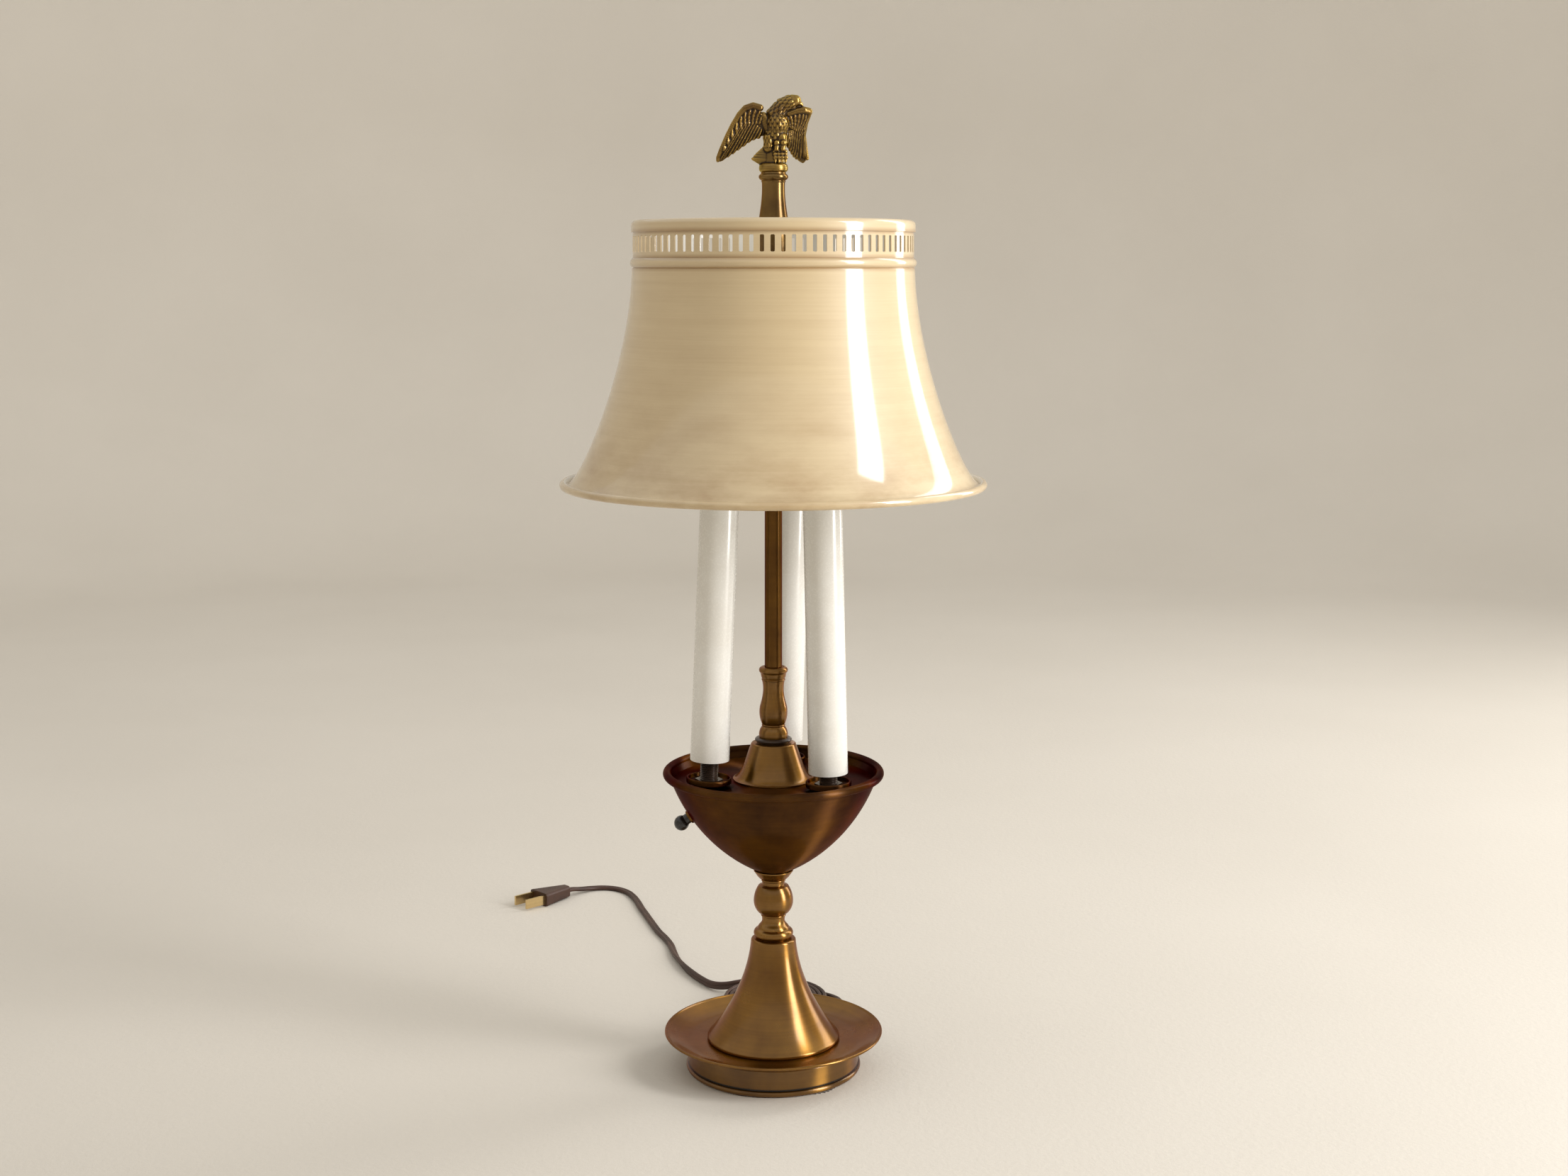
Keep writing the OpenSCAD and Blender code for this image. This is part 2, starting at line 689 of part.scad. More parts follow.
module stem_ball() {
    z = bell_top_z;
    ring_round_r = 2.6;
    ring_z = z + 0.3 + ring_round_r;
    upper_r = 14.5;
    lower_r = 9;
    upper_end = 36;
    lower_end = -58;
    ball_z = z + stem_h - 12.5;
    ball_foot_z = ball_z + lower_r * sin(lower_end);
    ball_top_z = ball_z + upper_r * sin(upper_end);
    outline = concat(
        [[pipe_r + pass_gap, z], [stem_ring_r - 2, z]],
        arc([stem_ring_r - ring_round_r, ring_z], ring_round_r, -75, 60, 14),
        bez([[stem_ring_r - 2.2, ring_z + 2.6], [stem_ring_r - 2.5, ring_z + 4.6],
             [stem_neck_r + 0.2, ring_z + 5.1], [stem_neck_r, ring_z + 7.3]], 10),
        [[stem_neck_r, ball_foot_z - 0.5]],
        arc([stem_ball_r - lower_r, ball_z], lower_r, lower_end, 0, 14),
        arc([stem_ball_r - upper_r, ball_z], upper_r, 3, upper_end, 10),
        [[stem_neck_r + 0.8, ball_top_z + 0.3], [stem_neck_r, ball_top_z + 0.8]],
        [[stem_neck_r, z + stem_h], [pipe_r + pass_gap, z + stem_h]]
    );
    color(brass) rotate_extrude() {
        polygon(outline);
        bead_2d(stem_neck_r + 0.1, ball_foot_z - 0.5, 0.6);
        bead_2d(stem_neck_r - 0.1, z + stem_h - 0.7, 0.7);
    }
}

module bowl_cup() {
    foot = [cup_r - 3.6, stem_top_z + 0.1];
    lip_h = 0.7;
    outline = concat(
        [[pipe_r + pass_gap, stem_top_z], [foot[0] - 0.1, stem_top_z]],
        bez([foot, foot + [1.3, 0.9], [cup_r - 1.3, bowl_z - 2.4], [cup_r - 0.15, bowl_z - lip_h]], 8),
        [[cup_r, bowl_z - lip_h], [cup_r, bowl_z], [pipe_r + pass_gap, bowl_z]]
    );
    color(brass) rotate_extrude() polygon(outline);
}

module centre_pipe() {
    color(steel) difference() {
        ring(pipe_bore_r, pipe_r, pipe_bottom_z, pipe_top_z);
        translate([0, -window_w / 2, window_z[0]]) cube([pipe_r + 2, window_w, window_z[1] - window_z[0]]);
    }
}

module pipe_nuts() {
    color(steel) {
        ring(pipe_r + nut_gap, nut_r * 1.5, recess_top_z - washer_t, recess_top_z);
        hex_nut(nut_r, pipe_r + nut_gap, base_nut_z, nut_h);
        hex_nut(nut_r, pipe_r + nut_gap, bowl_z + bowl_wall, nut_h);
        hex_nut(nut_r, pipe_r + nut_gap, plate_z - plate_t - nut_h, nut_h);
    }
}

module bowl() {
    color(dark_brass) difference() {
        rotate_extrude() difference() {
            union() {
                intersection() {
                    difference() {
                        translate(bowl_centre) circle(r = bowl_arc_r);
                        translate(bowl_centre) circle(r = bowl_inner_r);
                    }
                    translate([0, bowl_z]) square([bowl_r, bowl_depth]);
                }
                translate([0, bowl_z]) square([bowl_flat_r, bowl_wall]);
                bead_2d(bowl_r, bowl_rim_z, bowl_bead_r);
            }
            translate([0, bowl_z - 1]) square([pipe_r + pass_gap, bowl_wall + 2]);
        }
        switch_frame() bore(bushing_r + bushing_gap, -5, 5);
    }
}

module bowl_plate() {
    color(dark_brass) difference() {
        ring(pipe_r + pass_gap, plate_r, plate_z - plate_t, plate_z);
        for (i = [0:2]) candle_frame(i) bore(nipple_r + 0.25, -5, 5);
    }
}

module cone() {
    foot = [cone_foot_r, plate_z + 1];
    corner = 1;
    side = bez([
        foot, foot + [-3.8, 0], [cone_top_r + 3.5, cone_top_z - corner - 9.3],
        [cone_top_r, cone_top_z - corner]
    ], 16);
    color(brass) rotate_extrude() {
        sheet_2d(side, cone_wall);
        translate([cone_foot_r - 2.2, plate_z]) square([1.2, 1]);
        difference() {
            shoulder_2d(cone_top_r, cone_top_z - 2.5, cone_top_z, corner);
            translate([0, cone_top_z - 3]) square([cone_top_r - cone_wall, 3 - cone_wall]);
            translate([0, cone_top_z - 3]) square([pipe_r + pass_gap, 4]);
        }
    }
}

module cone_ring() {
    bead_r = 0.9;
    color(dark_brown) rotate_extrude() {
        translate([pipe_r + pass_gap, cone_top_z]) square([ring_r - 1.3 - pipe_r - pass_gap, ring_h]);
        bead_2d(ring_r - bead_r, cone_top_z + ring_h * 0.6, bead_r);
    }
}

module neck_vase() {
    z = ring_top_z;
    top = vase_top_z;
    bead_r = 1.9;
    outline = concat(
        [[0, z]],
        bez([[8, z], [8.6, z + 2], [8, z + 4.6], [6.4, z + 6.4]], 6),
        bez([[6.6, z + 7.8], [7.8, z + 10.4], [8.6, z + 14.5], [7.4, top - 21.4]], 8),
        bez([[7.4, top - 21.4], [6.2, top - 17.3], [5.2, top - 12.5], [6.5, top - 7.6]], 8),
        [[6.6, top - 6.8], [7.3, top - 5], [7.5, top - 3.4], [6.3, top - 0.1], [0, top - 0.1]]
    );
    color(brass) difference() {
        rotate_extrude() {
            polygon(outline);
            bead_2d(6.2, z + 7, 0.5);
            bead_2d(6.3, top - 7.3, 0.5);
            bead_2d(6.3, top - bead_r - 0.1, bead_r);
        }
        bore(pipe_r + nut_gap, z - 1, pipe_top_z + 0.5);
        bore(pipe_bore_r, z - 1, top + 1);
        bore(rod_r + nut_gap, rod_bottom_z, top + 1);
    }
}

module rod() {
    color(brass) ring(pipe_bore_r, rod_r, rod_bottom_z, rod_top_z);
}

// Shade

module shade_seat() {
    color(brass) ring(rod_r + nut_gap, nut_r, seat_z, hub_z);
}

module shade_spider() {
    color(brass) difference() {
        union() {
            bore(hub_r, hub_z, hub_top_z);
            for (a = arm_az) rotate([0, 0, a]) {
                translate([hub_r / 2, -arm_w / 2, hub_z]) cube([tab_r - hub_r / 2, arm_w, spider_t]);
                translate([tab_r - 1, -arm_w / 2, hub_top_z - tab_h]) cube([1, arm_w, tab_h]);
            }
        }
        bore(rod_r + 0.35, hub_z - 1, hub_top_z + 1);
    }
}

module shade_body() {
    bead_centre = [gallery_r + bead_bulge - bead_arc_r, top_bead_z];
    side = concat(
        [[gallery_r - shade_wall, gallery_z]],
        arc(bead_centre, bead_arc_r, bead_arc_half, -bead_arc_half, 12),
        bez([
            [shade_top_r, shade_shell_top_z], [shade_top_r + 0.9, shade_shell_top_z - shade_h * 0.446],
            [shade_rim_r - 10, shade_rim_z + 2.4], [shade_rim_r - shade_bead_r, shade_rim_z + 0.2]
        ], 18)
    );
    rolled_edge = arc([shade_rim_r, shade_rim_z], shade_bead_r, 173, -160, 24);
    color(cream) rotate_extrude()
        polygon(concat(side, rolled_edge, reversed(offset_path(side, -shade_wall))));
}

module shade_gallery() {
    color(cream) difference() {
        rotate_extrude() {
            translate([gallery_r - shade_wall, gallery_z]) square([shade_wall, gallery_h + 1]);
            difference() {
                shoulder_2d(cap_r, cap_z, cap_top_z, cap_corner);
                shoulder_2d(cap_r - shade_wall, cap_z - 1, cap_top_z - shade_wall, cap_corner - shade_wall);
                translate([0, cap_z - 1]) square([cap_lip_r, cap_h + 2]);
            }
            translate([gallery_r - shade_wall, cap_z]) square([cap_r - gallery_r + shade_wall, shade_wall]);
        }
        for (i = [0:slot_count - 1]) rotate([0, 0, 360 * i / slot_count])
            translate([gallery_r - 3, -slot_w / 2, slot_z]) cube([6, slot_w, slot_h]);
    }
}

// Finial

module finial_neck() {
    z = finial_z;
    bead_r = 1.8;
    bead_z = rock_z - 2.6;
    outline = concat(
        [[0, z], [neck_foot_r - 0.5, z], [neck_foot_r, z + 0.5]],
        bez([[neck_foot_r, z + 6.8], [neck_foot_r + 0.7, z + 20.8],
             [neck_waist_r - 0.6, rock_z - 20], [neck_waist_r, rock_z - 5.6]], 14),
        [[neck_waist_r, rock_z - 4], [neck_waist_r + 0.4, rock_z], [0, rock_z]]
    );
    color(brass) difference() {
        rotate_extrude() {
            polygon(outline);
            bead_2d(neck_waist_r - 0.1, rock_z - 5.2, 0.45);
            bead_2d(neck_waist_r, bead_z, bead_r);
        }
        bore(finial_bore_r, z - 1, finial_bore_top_z);
    }
}

// Section of a wing: a round leading edge that thins to the trailing edge
function wing_ring(w, i) =
    let (
        lead = w[i][0],
        trail = w[i][1],
        r = w[i][2],
        chord = unit(trail - lead),
        span = w[min(i + 1, len(w) - 1)][0] - w[max(i - 1, 0)][0],
        n = unit(cross(span, chord)),
        mid = lead + (trail - lead) * 0.45
    ) concat(
        [for (a = [70:40:310]) lead + r * (cos(a) * chord + sin(a) * n)],
        [mid - n * 0.8, trail - n * 0.4, trail + n * 0.4, mid + n * 0.8]
    );

function between(a, b, t) = a + (b - a) * t;

// A point on a wing, s stations from the shoulder and c of the way to the trailing edge
function wing_point(w, s, c) =
    let (
        i = min(floor(s), len(w) - 2),
        t = s - i
    )
    between(between(w[i][0], w[i + 1][0], t), between(w[i][1], w[i + 1][1], t), c);

// A pointed leaf from a to b, with a diamond section
module feather(a, b, n, half_w, half_t) {
    way = b - a;
    side = unit(cross(way, n));
    stations = [[0, 0.5], [0.5, 1], [1, 0.25]];
    skin([
        for (s = stations)
            let (p = a + way * s[0], w = half_w * s[1], t = half_t * s[1])
            [p + side * w, p - n * t, p - side * w, p + n * t]
    ]);
}

module wing(w) {
    n = unit(cross(w[4][0] - w[2][0], w[3][1] - w[3][0]));
    last = len(w) - 1;
    covert_step = (last - 2.6) / covert_count;
    root_swell = 0.1;
    skin([for (i = [0:last]) wing_ring(w, i)]);
    translate(w[0][0]) sphere(r = w[0][2] + root_swell, $fn = 14);
    translate(w[last][0]) sphere(r = w[last][2], $fn = 12);
    for (k = [0:primary_count - 1])
        let (from_s = 2.9 - 0.33 * k, to_s = last - 0.4 - 0.83 * k)
        feather(wing_point(w, from_s, 0.34 + 0.05 * k), wing_point(w, to_s, min(1.05, 0.5 + 0.26 * k)),
                n, 1.3, 1.6);
    for (row = [0:covert_rows - 1]) for (k = [0:covert_count - 1])
        let (s = 0.15 + covert_step * (k + 0.5 * (row % 2)), c = 0.1 + 0.13 * row)
        feather(wing_point(w, s, c), wing_point(w, s + 0.35, c + 0.26), n, 1.25, 1.9 - 0.1 * row);
}

// Two balls with a skin stretched over them
module limb(a, ra, b, rb, sides = 12) {
    hull() {
        translate(a) sphere(r = ra, $fn = sides);
        translate(b) sphere(r = rb, $fn = sides);
    }
}

// The turned foot of the casting and the layered rock on it
module rock() {
    rotate_extrude($fn = 32)
        polygon([[0, 0], [7.2, 0], [8.1, 0.9], [8.3, 2.4], [8, 4], [7.2, 4.9], [0, 4.9]]);
    for (layer = rock_layers) hull() {
        translate([0, 0, layer[0]]) cylinder(r = layer[3], h = 0.4, $fn = 20);
        translate([layer[2] + 0.6, -0.8, layer[1] - 0.8]) sphere(r = 0.6, $fn = 8);
        translate([-0.8, 0.6, layer[1] - 0.4]) cylinder(r = layer[3] - 1.6, h = 0.4, $fn = 20);
    }
}

// Knuckles and claws that grip the rock's edge
module talons() {
    for (k = [0:3]) {
        x = 0.9 + 1.95 * k;
        limb([x, -5.6, 11.4], 1.35, [x + 0.3, -7.2, 8.2], 1.15);
        limb([x + 0.3, -7.2, 8.2], 0.8, [x + 0.3, -7.9, 5.4], 0.45);
    }
    for (x = [1.6, 5.4]) {
        limb([x, -5.4, 16], 1.7, [x - 0.3, -6.2, 12.8], 1.5);
    }
}

module head() {
    brow = crown_at + [1.6, -0.2, 0.6];
    limb(shoulder_at, shoulder_r, nape_at, nape_r, 20);
    limb(nape_at, nape_r, crown_at, crown_r, 20);
    limb(crown_at, crown_r, brow, 3.4, 20);
    limb(brow + [0.9, 0, -0.8], 2.4, beak_tip - [0.7, 0, -0.2], 0.9, 16);
    limb(beak_tip - [0.7, 0, -0.2], 0.9, beak_tip - [0.3, 0, 1.2], 0.35);
    limb(crown_at + [1.8, 0, -2.4], 1.8, beak_tip - [1.6, 0, 1.4], 0.6);
}

// Overlapping feathers down the breast, and longer ones along the neck
module plumage() {
    neck_way = unit(nape_at - shoulder_at);
    over = [-neck_way[2], 0, neck_way[0]];
    for (row = [0:breast_rows - 1]) for (k = [-2:2]) {
        az = 27 * k + 13 * (row % 2);
        el = 34 - 21 * row;
        out = [cos(el) * sin(az), -cos(el) * cos(az), sin(el)];
        down = unit([0, 0, -1] + out * out[2]);
        p = breast_at + out * (breast_r - 0.5);
        feather(p - down * 1.6, p + down * 2, out, 1.3, 1.1);
    }
    for (k = [-2:3]) {
        out = [0, -cos(30 * k), 0] + over * sin(30 * k);
        feather(shoulder_at + out * (shoulder_r - 0.3) - neck_way * 2.4,
                nape_at + out * (nape_r - 0.3) + neck_way * 1.4, out, 1.2, 0.9);
    }
}

module finial_eagle() {
    tail_face = [0, 0.5, 0.25];
    color(brass) translate([0, 0, rock_z]) scale(eagle_h / drawn_eagle_h) {
        rock();
        talons();
        limb([0.8, 0.6, 14], 5.4, belly_at, belly_r, 20);
        limb(belly_at, belly_r, breast_at, breast_r, 20);
        limb(breast_at, breast_r, shoulder_at, shoulder_r, 20);
        limb(left_wing[0][0] + [1.5, 2.8, -5], 3.0, belly_at, 5.6, 16);
        limb(right_wing[0][0] + [-1.5, 1.6, -3], 2.6, belly_at, 5.6, 16);
        limb([-2.6, -2.6, 19.5], 3.4, [-2.7, -3.4, 13.5], 3.0, 16);
        limb([4.4, -3.2, 19.5], 3.4, [4.2, -4.0, 13], 2.6, 16);
        head();
        plumage();
        wing(left_wing);
        wing(right_wing);
        for (k = [-2:2])
            feather([0.6 + 0.8 * k, 4.5, 20], [0.6 + 2.6 * k, 10.5, 6.5 + 0.4 * k * k], tail_face, 1.6, 1.2);
    }
}

// Candles

module bobeche(i) {
    floor_z = dish_lift + dish_wall;
    rim_r = 0.65;
    rim_low = 1.95;
    side = bez([
        [dish_foot_r - 0.6, dish_lift], [dish_foot_r + 1.4, dish_lift + 0.1],
        [dish_r - 2.2, dish_lift + 1], [dish_r - rim_r - 0.2, dish_lift + rim_low]
    ], 6);
    color(dark_brown) candle_frame(i) rotate_extrude() {
        translate([nipple_r + 0.1, dish_lift]) square([dish_foot_r - 0.5 - nipple_r, floor_z - dish_lift]);
        sheet_2d(side, dish_wall);
        bead_2d(dish_r - rim_r, dish_lift + rim_low, rim_r);
        bead_2d(dish_r - rim_r, dish_h - rim_r, rim_r);
        translate([dish_r - 2 * rim_r, dish_lift + rim_low])
            square([2 * rim_r, dish_h - rim_r - dish_lift - rim_low]);
    }
}

module candle_nipple(i) {
    color(dark_brown) candle_frame(i) ring(nipple_bore_r, nipple_r, -nipple_down, nipple_up);
}

module candle_nuts() {
    color(dark_brown) for (i = [0:2]) candle_frame(i) {
        hex_nut(candle_nut_r, nipple_r + nut_gap, dish_lift + dish_wall, candle_nut_h);
        hex_nut(candle_nut_r, nipple_r + nut_gap, -plate_t - nut_under_gap - candle_nut_h, candle_nut_h);
    }
}

module socket_strap(i) {
    top = socket_top(i) - socket_h;
    color(steel) candle_frame(i) {
        ring(nipple_r + nut_gap, strap_x + strap_t, strap_z, strap_z + strap_t);
        translate([strap_x, -strap_w / 2, strap_z + strap_t / 2])
            cube([strap_t, strap_w, top - strap_z - strap_t / 2]);
        translate([-1.5, -strap_w / 2, top - strap_t]) cube([strap_x + strap_t + 1.5, strap_w, strap_t]);
    }
}

module socket_body(i) {
    z = socket_top(i) - socket_h;
    ledge_z = z + socket_h - shell_sunk - shell_len;
    color(white) candle_frame(i) difference() {
        bore(socket_r, z, z + socket_h);
        bore(ledge_r, z + socket_floor, z + socket_h);
        bore(shell_r + shell_gap, ledge_z, z + socket_h + 1);
    }
}

module socket_shell(i) {
    top = socket_top(i) - shell_sunk;
    color(brass) candle_frame(i) ring(shell_bore_r, shell_r, top - shell_len, top);
}

module socket_contact(i) {
    z = socket_top(i) - socket_h + socket_floor;
    color(brass) candle_frame(i) bore(contact_r, z, z + contact_t);
}

module candle_cover(i) {
    z = candle_raise[i];
    corner = 0.7;
    color(white) candle_frame(i) rotate_extrude() difference() {
        shoulder_2d(cover_r, z, z + cover_len, corner);
        translate([0, z - 1]) square([cover_bore_r, cover_len - lip_t + 1]);
        translate([0, z - 1]) square([lip_bore_r, cover_len + 2]);
    }
}

// Switch and wiring

module switch_body() {
    color(black) switch_frame() difference() {
        bore(switch_r, switch_face - switch_len, switch_face);
        bore(shaft_r + shaft_gap, shaft_in - 0.3, switch_face + 1);
    }
}

module switch_bushing() {
    color(brass) switch_frame() difference() {
        union() {
            bore(bushing_r, switch_face, face_nut_h);
            bore(face_nut_r, bushing_gap, face_nut_h);
        }
        bore(shaft_r + shaft_gap, switch_face - 1, face_nut_h + 1);
    }
}

module switch_knob() {
    collar_r = 3;
    color(black) switch_frame() {
        bore(shaft_r, shaft_in, knob_out);
        bore(collar_r, face_nut_h + 0.3, knob_out);
        translate([0, 0, knob_out]) sphere(r = knob_r);
    }
}

module wire_caps() {
    color(black) for (p = [cap_at, switch_cap_at]) translate(p) rotate([180, 0, 0])
        cylinder(r1 = wire_cap_r, r2 = wire_cap_r * 0.6, h = wire_cap_len);
}

// A lead from a socket, down the nipple and across the bowl to the wire cap
module socket_lead(i, across, side) {
    z = socket_top(i) - socket_h;
    down = [for (p = [
        [lead_x, 0, z], [lead_x, 0, z - 6], [-3, 0, z - 18], [-0.6, 0, z - 34], [0, 0, z - 44],
        [0, 0, nipple_up], [0, 0, -nipple_down]
    ]) candle_point(i, p)];
    ends = [for (h = [5.5, 2.5, 0]) cap_at + side + [0, 0, h]];
    skin(round_sections(concat(down, across, ends), lead_d, 6));
}

module bowl_leads() {
    z = bowl_z;
    b = candle_point(2, [0, 0, -nipple_down]);
    l = candle_point(0, [0, 0, -nipple_down]);
    r = candle_point(1, [0, 0, -nipple_down]);
    back_end = switch_face - switch_len;
    s = [-switch_at[0] - back_end * cos(switch_angle), 0, switch_at[1] - back_end * sin(switch_angle)];
    inward = [cos(switch_angle), 0, sin(switch_angle)];
    color(dark_brown) {
        socket_lead(0, [l + [0.8, -0.2, -4], l + [5, -0.5, -7.5], [-20, -14, z + 37], [-4, -11, z + 37],
                        [10, -8, z + 38], [18, -5, z + 39]], [-1, -2.6, 0]);
        socket_lead(1, [r + [-0.4, 0.6, -4], r + [-1.6, 3.5, -7.5], [28, -10, z + 38]], [2.6, -1, 0]);
        socket_lead(2, [b + [0.3, -0.6, -4], b + [1.6, -3.6, -7.5], [14, 20, z + 38], [20, 8, z + 39]],
                    [0.6, 2.7, 0]);
        for (k = [-1, 1])
            skin(round_sections([
                s + [0, 3 * k, 0], s + inward * 3 + [0, 3 * k, 0], s + inward * 6 + [2, 3 + 3 * k, -1],
                [-24 - 2 * k, 10 + 2 * k, z + 35], switch_cap_at + [-4 - k, k, 6],
                switch_cap_at + [0.3 * k, 1.5 * k, 3], switch_cap_at + [0, 1.5 * k, 0]
            ], lead_d, 6));
    }
}

module inner_cord() {
    color(dark_brown) skin(round_sections(inner_points, inner_d, cord_sides));
}

// Mains cord outside the base

coil_climb = 180;
coil_in_angle = 360 * coil_turns_in;
coil_angle = coil_in_angle + coil_climb + 360 * coil_turns_out;

// Radius and height of the coil at turning angle a, measured from its start
function coil_radius(a) =
    a <= coil_in_angle ? coil_out_r - coil_step * a / 360 :
    a <= coil_in_angle + coil_climb ? coil_in_r - coil_dip * sin(a - coil_in_angle) :
    coil_in_r + coil_step * (a - coil_in_angle - coil_climb) / 360;

function coil_height(a) = layer_step * min(1, max(0, (a - coil_in_angle) / coil_climb));

function coil_at(a) =
    let (az = coil_start_az + a)
    coil_centre + [coil_radius(a) * cos(az), coil_radius(a) * sin(az), coil_height(a)];

function coil_way(a) = [-sin(coil_start_az + a), cos(coil_start_az + a), 0];

coil_rings = ceil(coil_angle / 360 * loop_rings);
coil_begin = coil_at(0) - cord_w * coil_way(0);
coil_end = coil_at(coil_angle) + cord_w * coil_way(coil_angle);

function coil_section(p, way) = cord_section(p, way, cord_w, cord_t, 90, coil_sides, 1);

coil_sections = concat(
    [coil_section(coil_begin, coil_way(0))],
    [for (i = [0:coil_rings]) let (a = coil_angle * i / coil_rings) coil_section(coil_at(a), coil_way(a))],
    [coil_section(coil_end, coil_way(coil_angle))]
);

// Least distance between the points of two loops that lie side by side or on each other
coil_gap = min([
    for (i = [0:len(coil_sections) - loop_rings - 4])
        for (loop = [1:ceil(coil_angle / 360)]) for (near = [-2:2])
            let (j = i + loop * loop_rings + near)
            if (j < len(coil_sections) && j > i + loop_rings / 2)
                min([for (p = coil_sections[i]) for (q = coil_sections[j]) norm(p - q)])
]);
echo(coil_gap = coil_gap);

lead_path = concat([exit_point, exit_point + exit_dir * cord_w], lead_points, [coil_begin]);
run_path = concat([coil_end], run_points, [plug_at - plug_dir * cord_w, plug_at]);

function path_length(p) = len(p) < 2 ? 0 : norm(p[1] - p[0]) + path_length([for (i = [1:len(p) - 1]) p[i]]);

coil_path = concat(
    [coil_begin], [for (i = [0:coil_rings]) coil_at(coil_angle * i / coil_rings)], [coil_end]
);
echo(cord_length = sleeve_len + path_length(lead_path) + path_length(coil_path) + path_length(run_path));

module cord_lead() {
    last = len(lead_path) - 1;
    color(dark_brown) skin([
        for (i = [0:last])
            let (way = i == 0 ? exit_dir : i == last ? coil_way(0) : path_way(lead_path, i))
            cord_section(lead_path[i], way, cord_w, cord_t, 90, cord_sides, 1)
    ]);
}

module cord_coil() {
    color(dark_brown) skin(coil_sections);
}

module cord_run() {
    last = len(run_path) - 1;
    color(dark_brown) skin([
        for (i = [0:last])
            let (
                way = i == 0 ? coil_way(coil_angle) : i >= last - 1 ? plug_dir : path_way(run_path, i),
                flat = min(1, max(0, (i - flat_from) / (flat_by - flat_from)))
            )
            cord_section(run_path[i], way, cord_w, cord_t, 90 - 90 * flat, cord_sides, 1)
    ]);
}

// A band round the coil's turns, at the side nearest the base
module cord_tie() {
    tie_w = 6;
    r0 = coil_in_r - coil_dip - cord_t / 2 - tie_gap;
    r1 = coil_out_r + cord_t / 2 + tie_gap;
    z0 = coil_centre[2] - cord_w / 2 - tie_gap / 2;
    z1 = z0 + cord_w + layer_step + tie_gap;
    color(black) translate([coil_centre[0], coil_centre[1], 0]) rotate([0, 0, 270]) difference() {
        translate([r0 - tie_t, -tie_w / 2, z0 - tie_t])
            cube([r1 - r0 + 2 * tie_t, tie_w, z1 - z0 + 2 * tie_t]);
        translate([r0, -tie_w, z0]) cube([r1 - r0, 2 * tie_w, z1 - z0]);
    }
}

module plug_frame() {
    translate(plug_at) rotate([0, 0, plug_az]) children();
}

module plug_body() {
    waist = 8;
    corner = 2;
    color(dark_brown) plug_frame() hull() {
        for (y = [-1, 1]) for (z = [-1, 1]) {
            translate([plug_len - 1, y * (plug_w / 2 - corner), z * (plug_h / 2 - corner)])
                rotate([0, 90, 0]) cylinder(r = corner, h = 1, $fn = 24);
            translate([0, y * (waist / 2 - corner), z * (plug_h / 2 - corner - 0.6)])
                rotate([0, 90, 0]) cylinder(r = corner, h = 1, $fn = 24);
        }
    }
}

module plug_blades() {
    color(brass) plug_frame() for (y = [-1, 1])
        translate([plug_len, y * blade_gap / 2 - blade_t / 2, -blade_w / 2])
            cube([blade_len, blade_t, blade_w]);
}

felt_pad();
base_ring();
base_weight();
cord_bushing();
saucer();
bell();
stem_ball();
bowl_cup();
centre_pipe();
pipe_nuts();
bowl();
bowl_plate();
cone();
cone_ring();
neck_vase();
rod();
shade_seat();
shade_spider();
shade_body();
shade_gallery();
finial_neck();
finial_eagle();
candle_nuts();
switch_body();
switch_bushing();
switch_knob();
wire_caps();
bowl_leads();
inner_cord();
cord_lead();
cord_coil();
cord_run();
cord_tie();
plug_body();
plug_blades();
for (i = [0:2]) {
    bobeche(i);
    candle_nipple(i);
    socket_strap(i);
    socket_body(i);
    socket_shell(i);
    socket_contact(i);
    candle_cover(i);
}
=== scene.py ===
"""Table lamp with three mock candles, a cream metal shade and an eagle finial: its visible surfaces.

Lengths in the classes are millimetres, as in the part's source. They become metres when a mesh is made.
"""

import json
import logging
import math
import random
from collections.abc import Iterable, Sequence
from dataclasses import dataclass, field
from enum import Enum
from functools import cached_property
from itertools import pairwise

import bmesh
import bpy
from mathutils import Matrix, Vector


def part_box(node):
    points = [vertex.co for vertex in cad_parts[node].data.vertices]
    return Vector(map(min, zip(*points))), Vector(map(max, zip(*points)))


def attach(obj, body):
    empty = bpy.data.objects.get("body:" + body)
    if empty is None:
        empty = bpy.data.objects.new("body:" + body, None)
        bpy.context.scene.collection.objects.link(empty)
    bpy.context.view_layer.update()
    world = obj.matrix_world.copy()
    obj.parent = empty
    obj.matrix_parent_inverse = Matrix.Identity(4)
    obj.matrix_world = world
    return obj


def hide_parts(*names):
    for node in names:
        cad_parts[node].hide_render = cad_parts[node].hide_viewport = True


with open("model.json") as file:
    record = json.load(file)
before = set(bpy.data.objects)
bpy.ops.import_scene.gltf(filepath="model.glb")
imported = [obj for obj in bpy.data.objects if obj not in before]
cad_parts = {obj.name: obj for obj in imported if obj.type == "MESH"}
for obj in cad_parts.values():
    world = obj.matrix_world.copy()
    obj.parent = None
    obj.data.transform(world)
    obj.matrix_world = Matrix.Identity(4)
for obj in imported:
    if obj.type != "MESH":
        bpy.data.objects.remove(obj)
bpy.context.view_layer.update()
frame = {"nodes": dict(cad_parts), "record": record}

log = logging.getLogger("table_lamp")

MM = 0.001
TURN = 2 * math.pi
SEAM = 2e-6
SLIVER = 1e-7
Point2 = tuple[float, float]
Point3 = tuple[float, float, float]
Colour = tuple[float, float, float]
Faces = list[list[int]]
Skin = tuple[list[Sequence[float]], Faces]
Wing = tuple[tuple[Point3, Point3, float], ...]
Socket = bpy.types.NodeSocket
Mesh = bpy.types.Mesh
Material = bpy.types.Material
Piece = bpy.types.Object


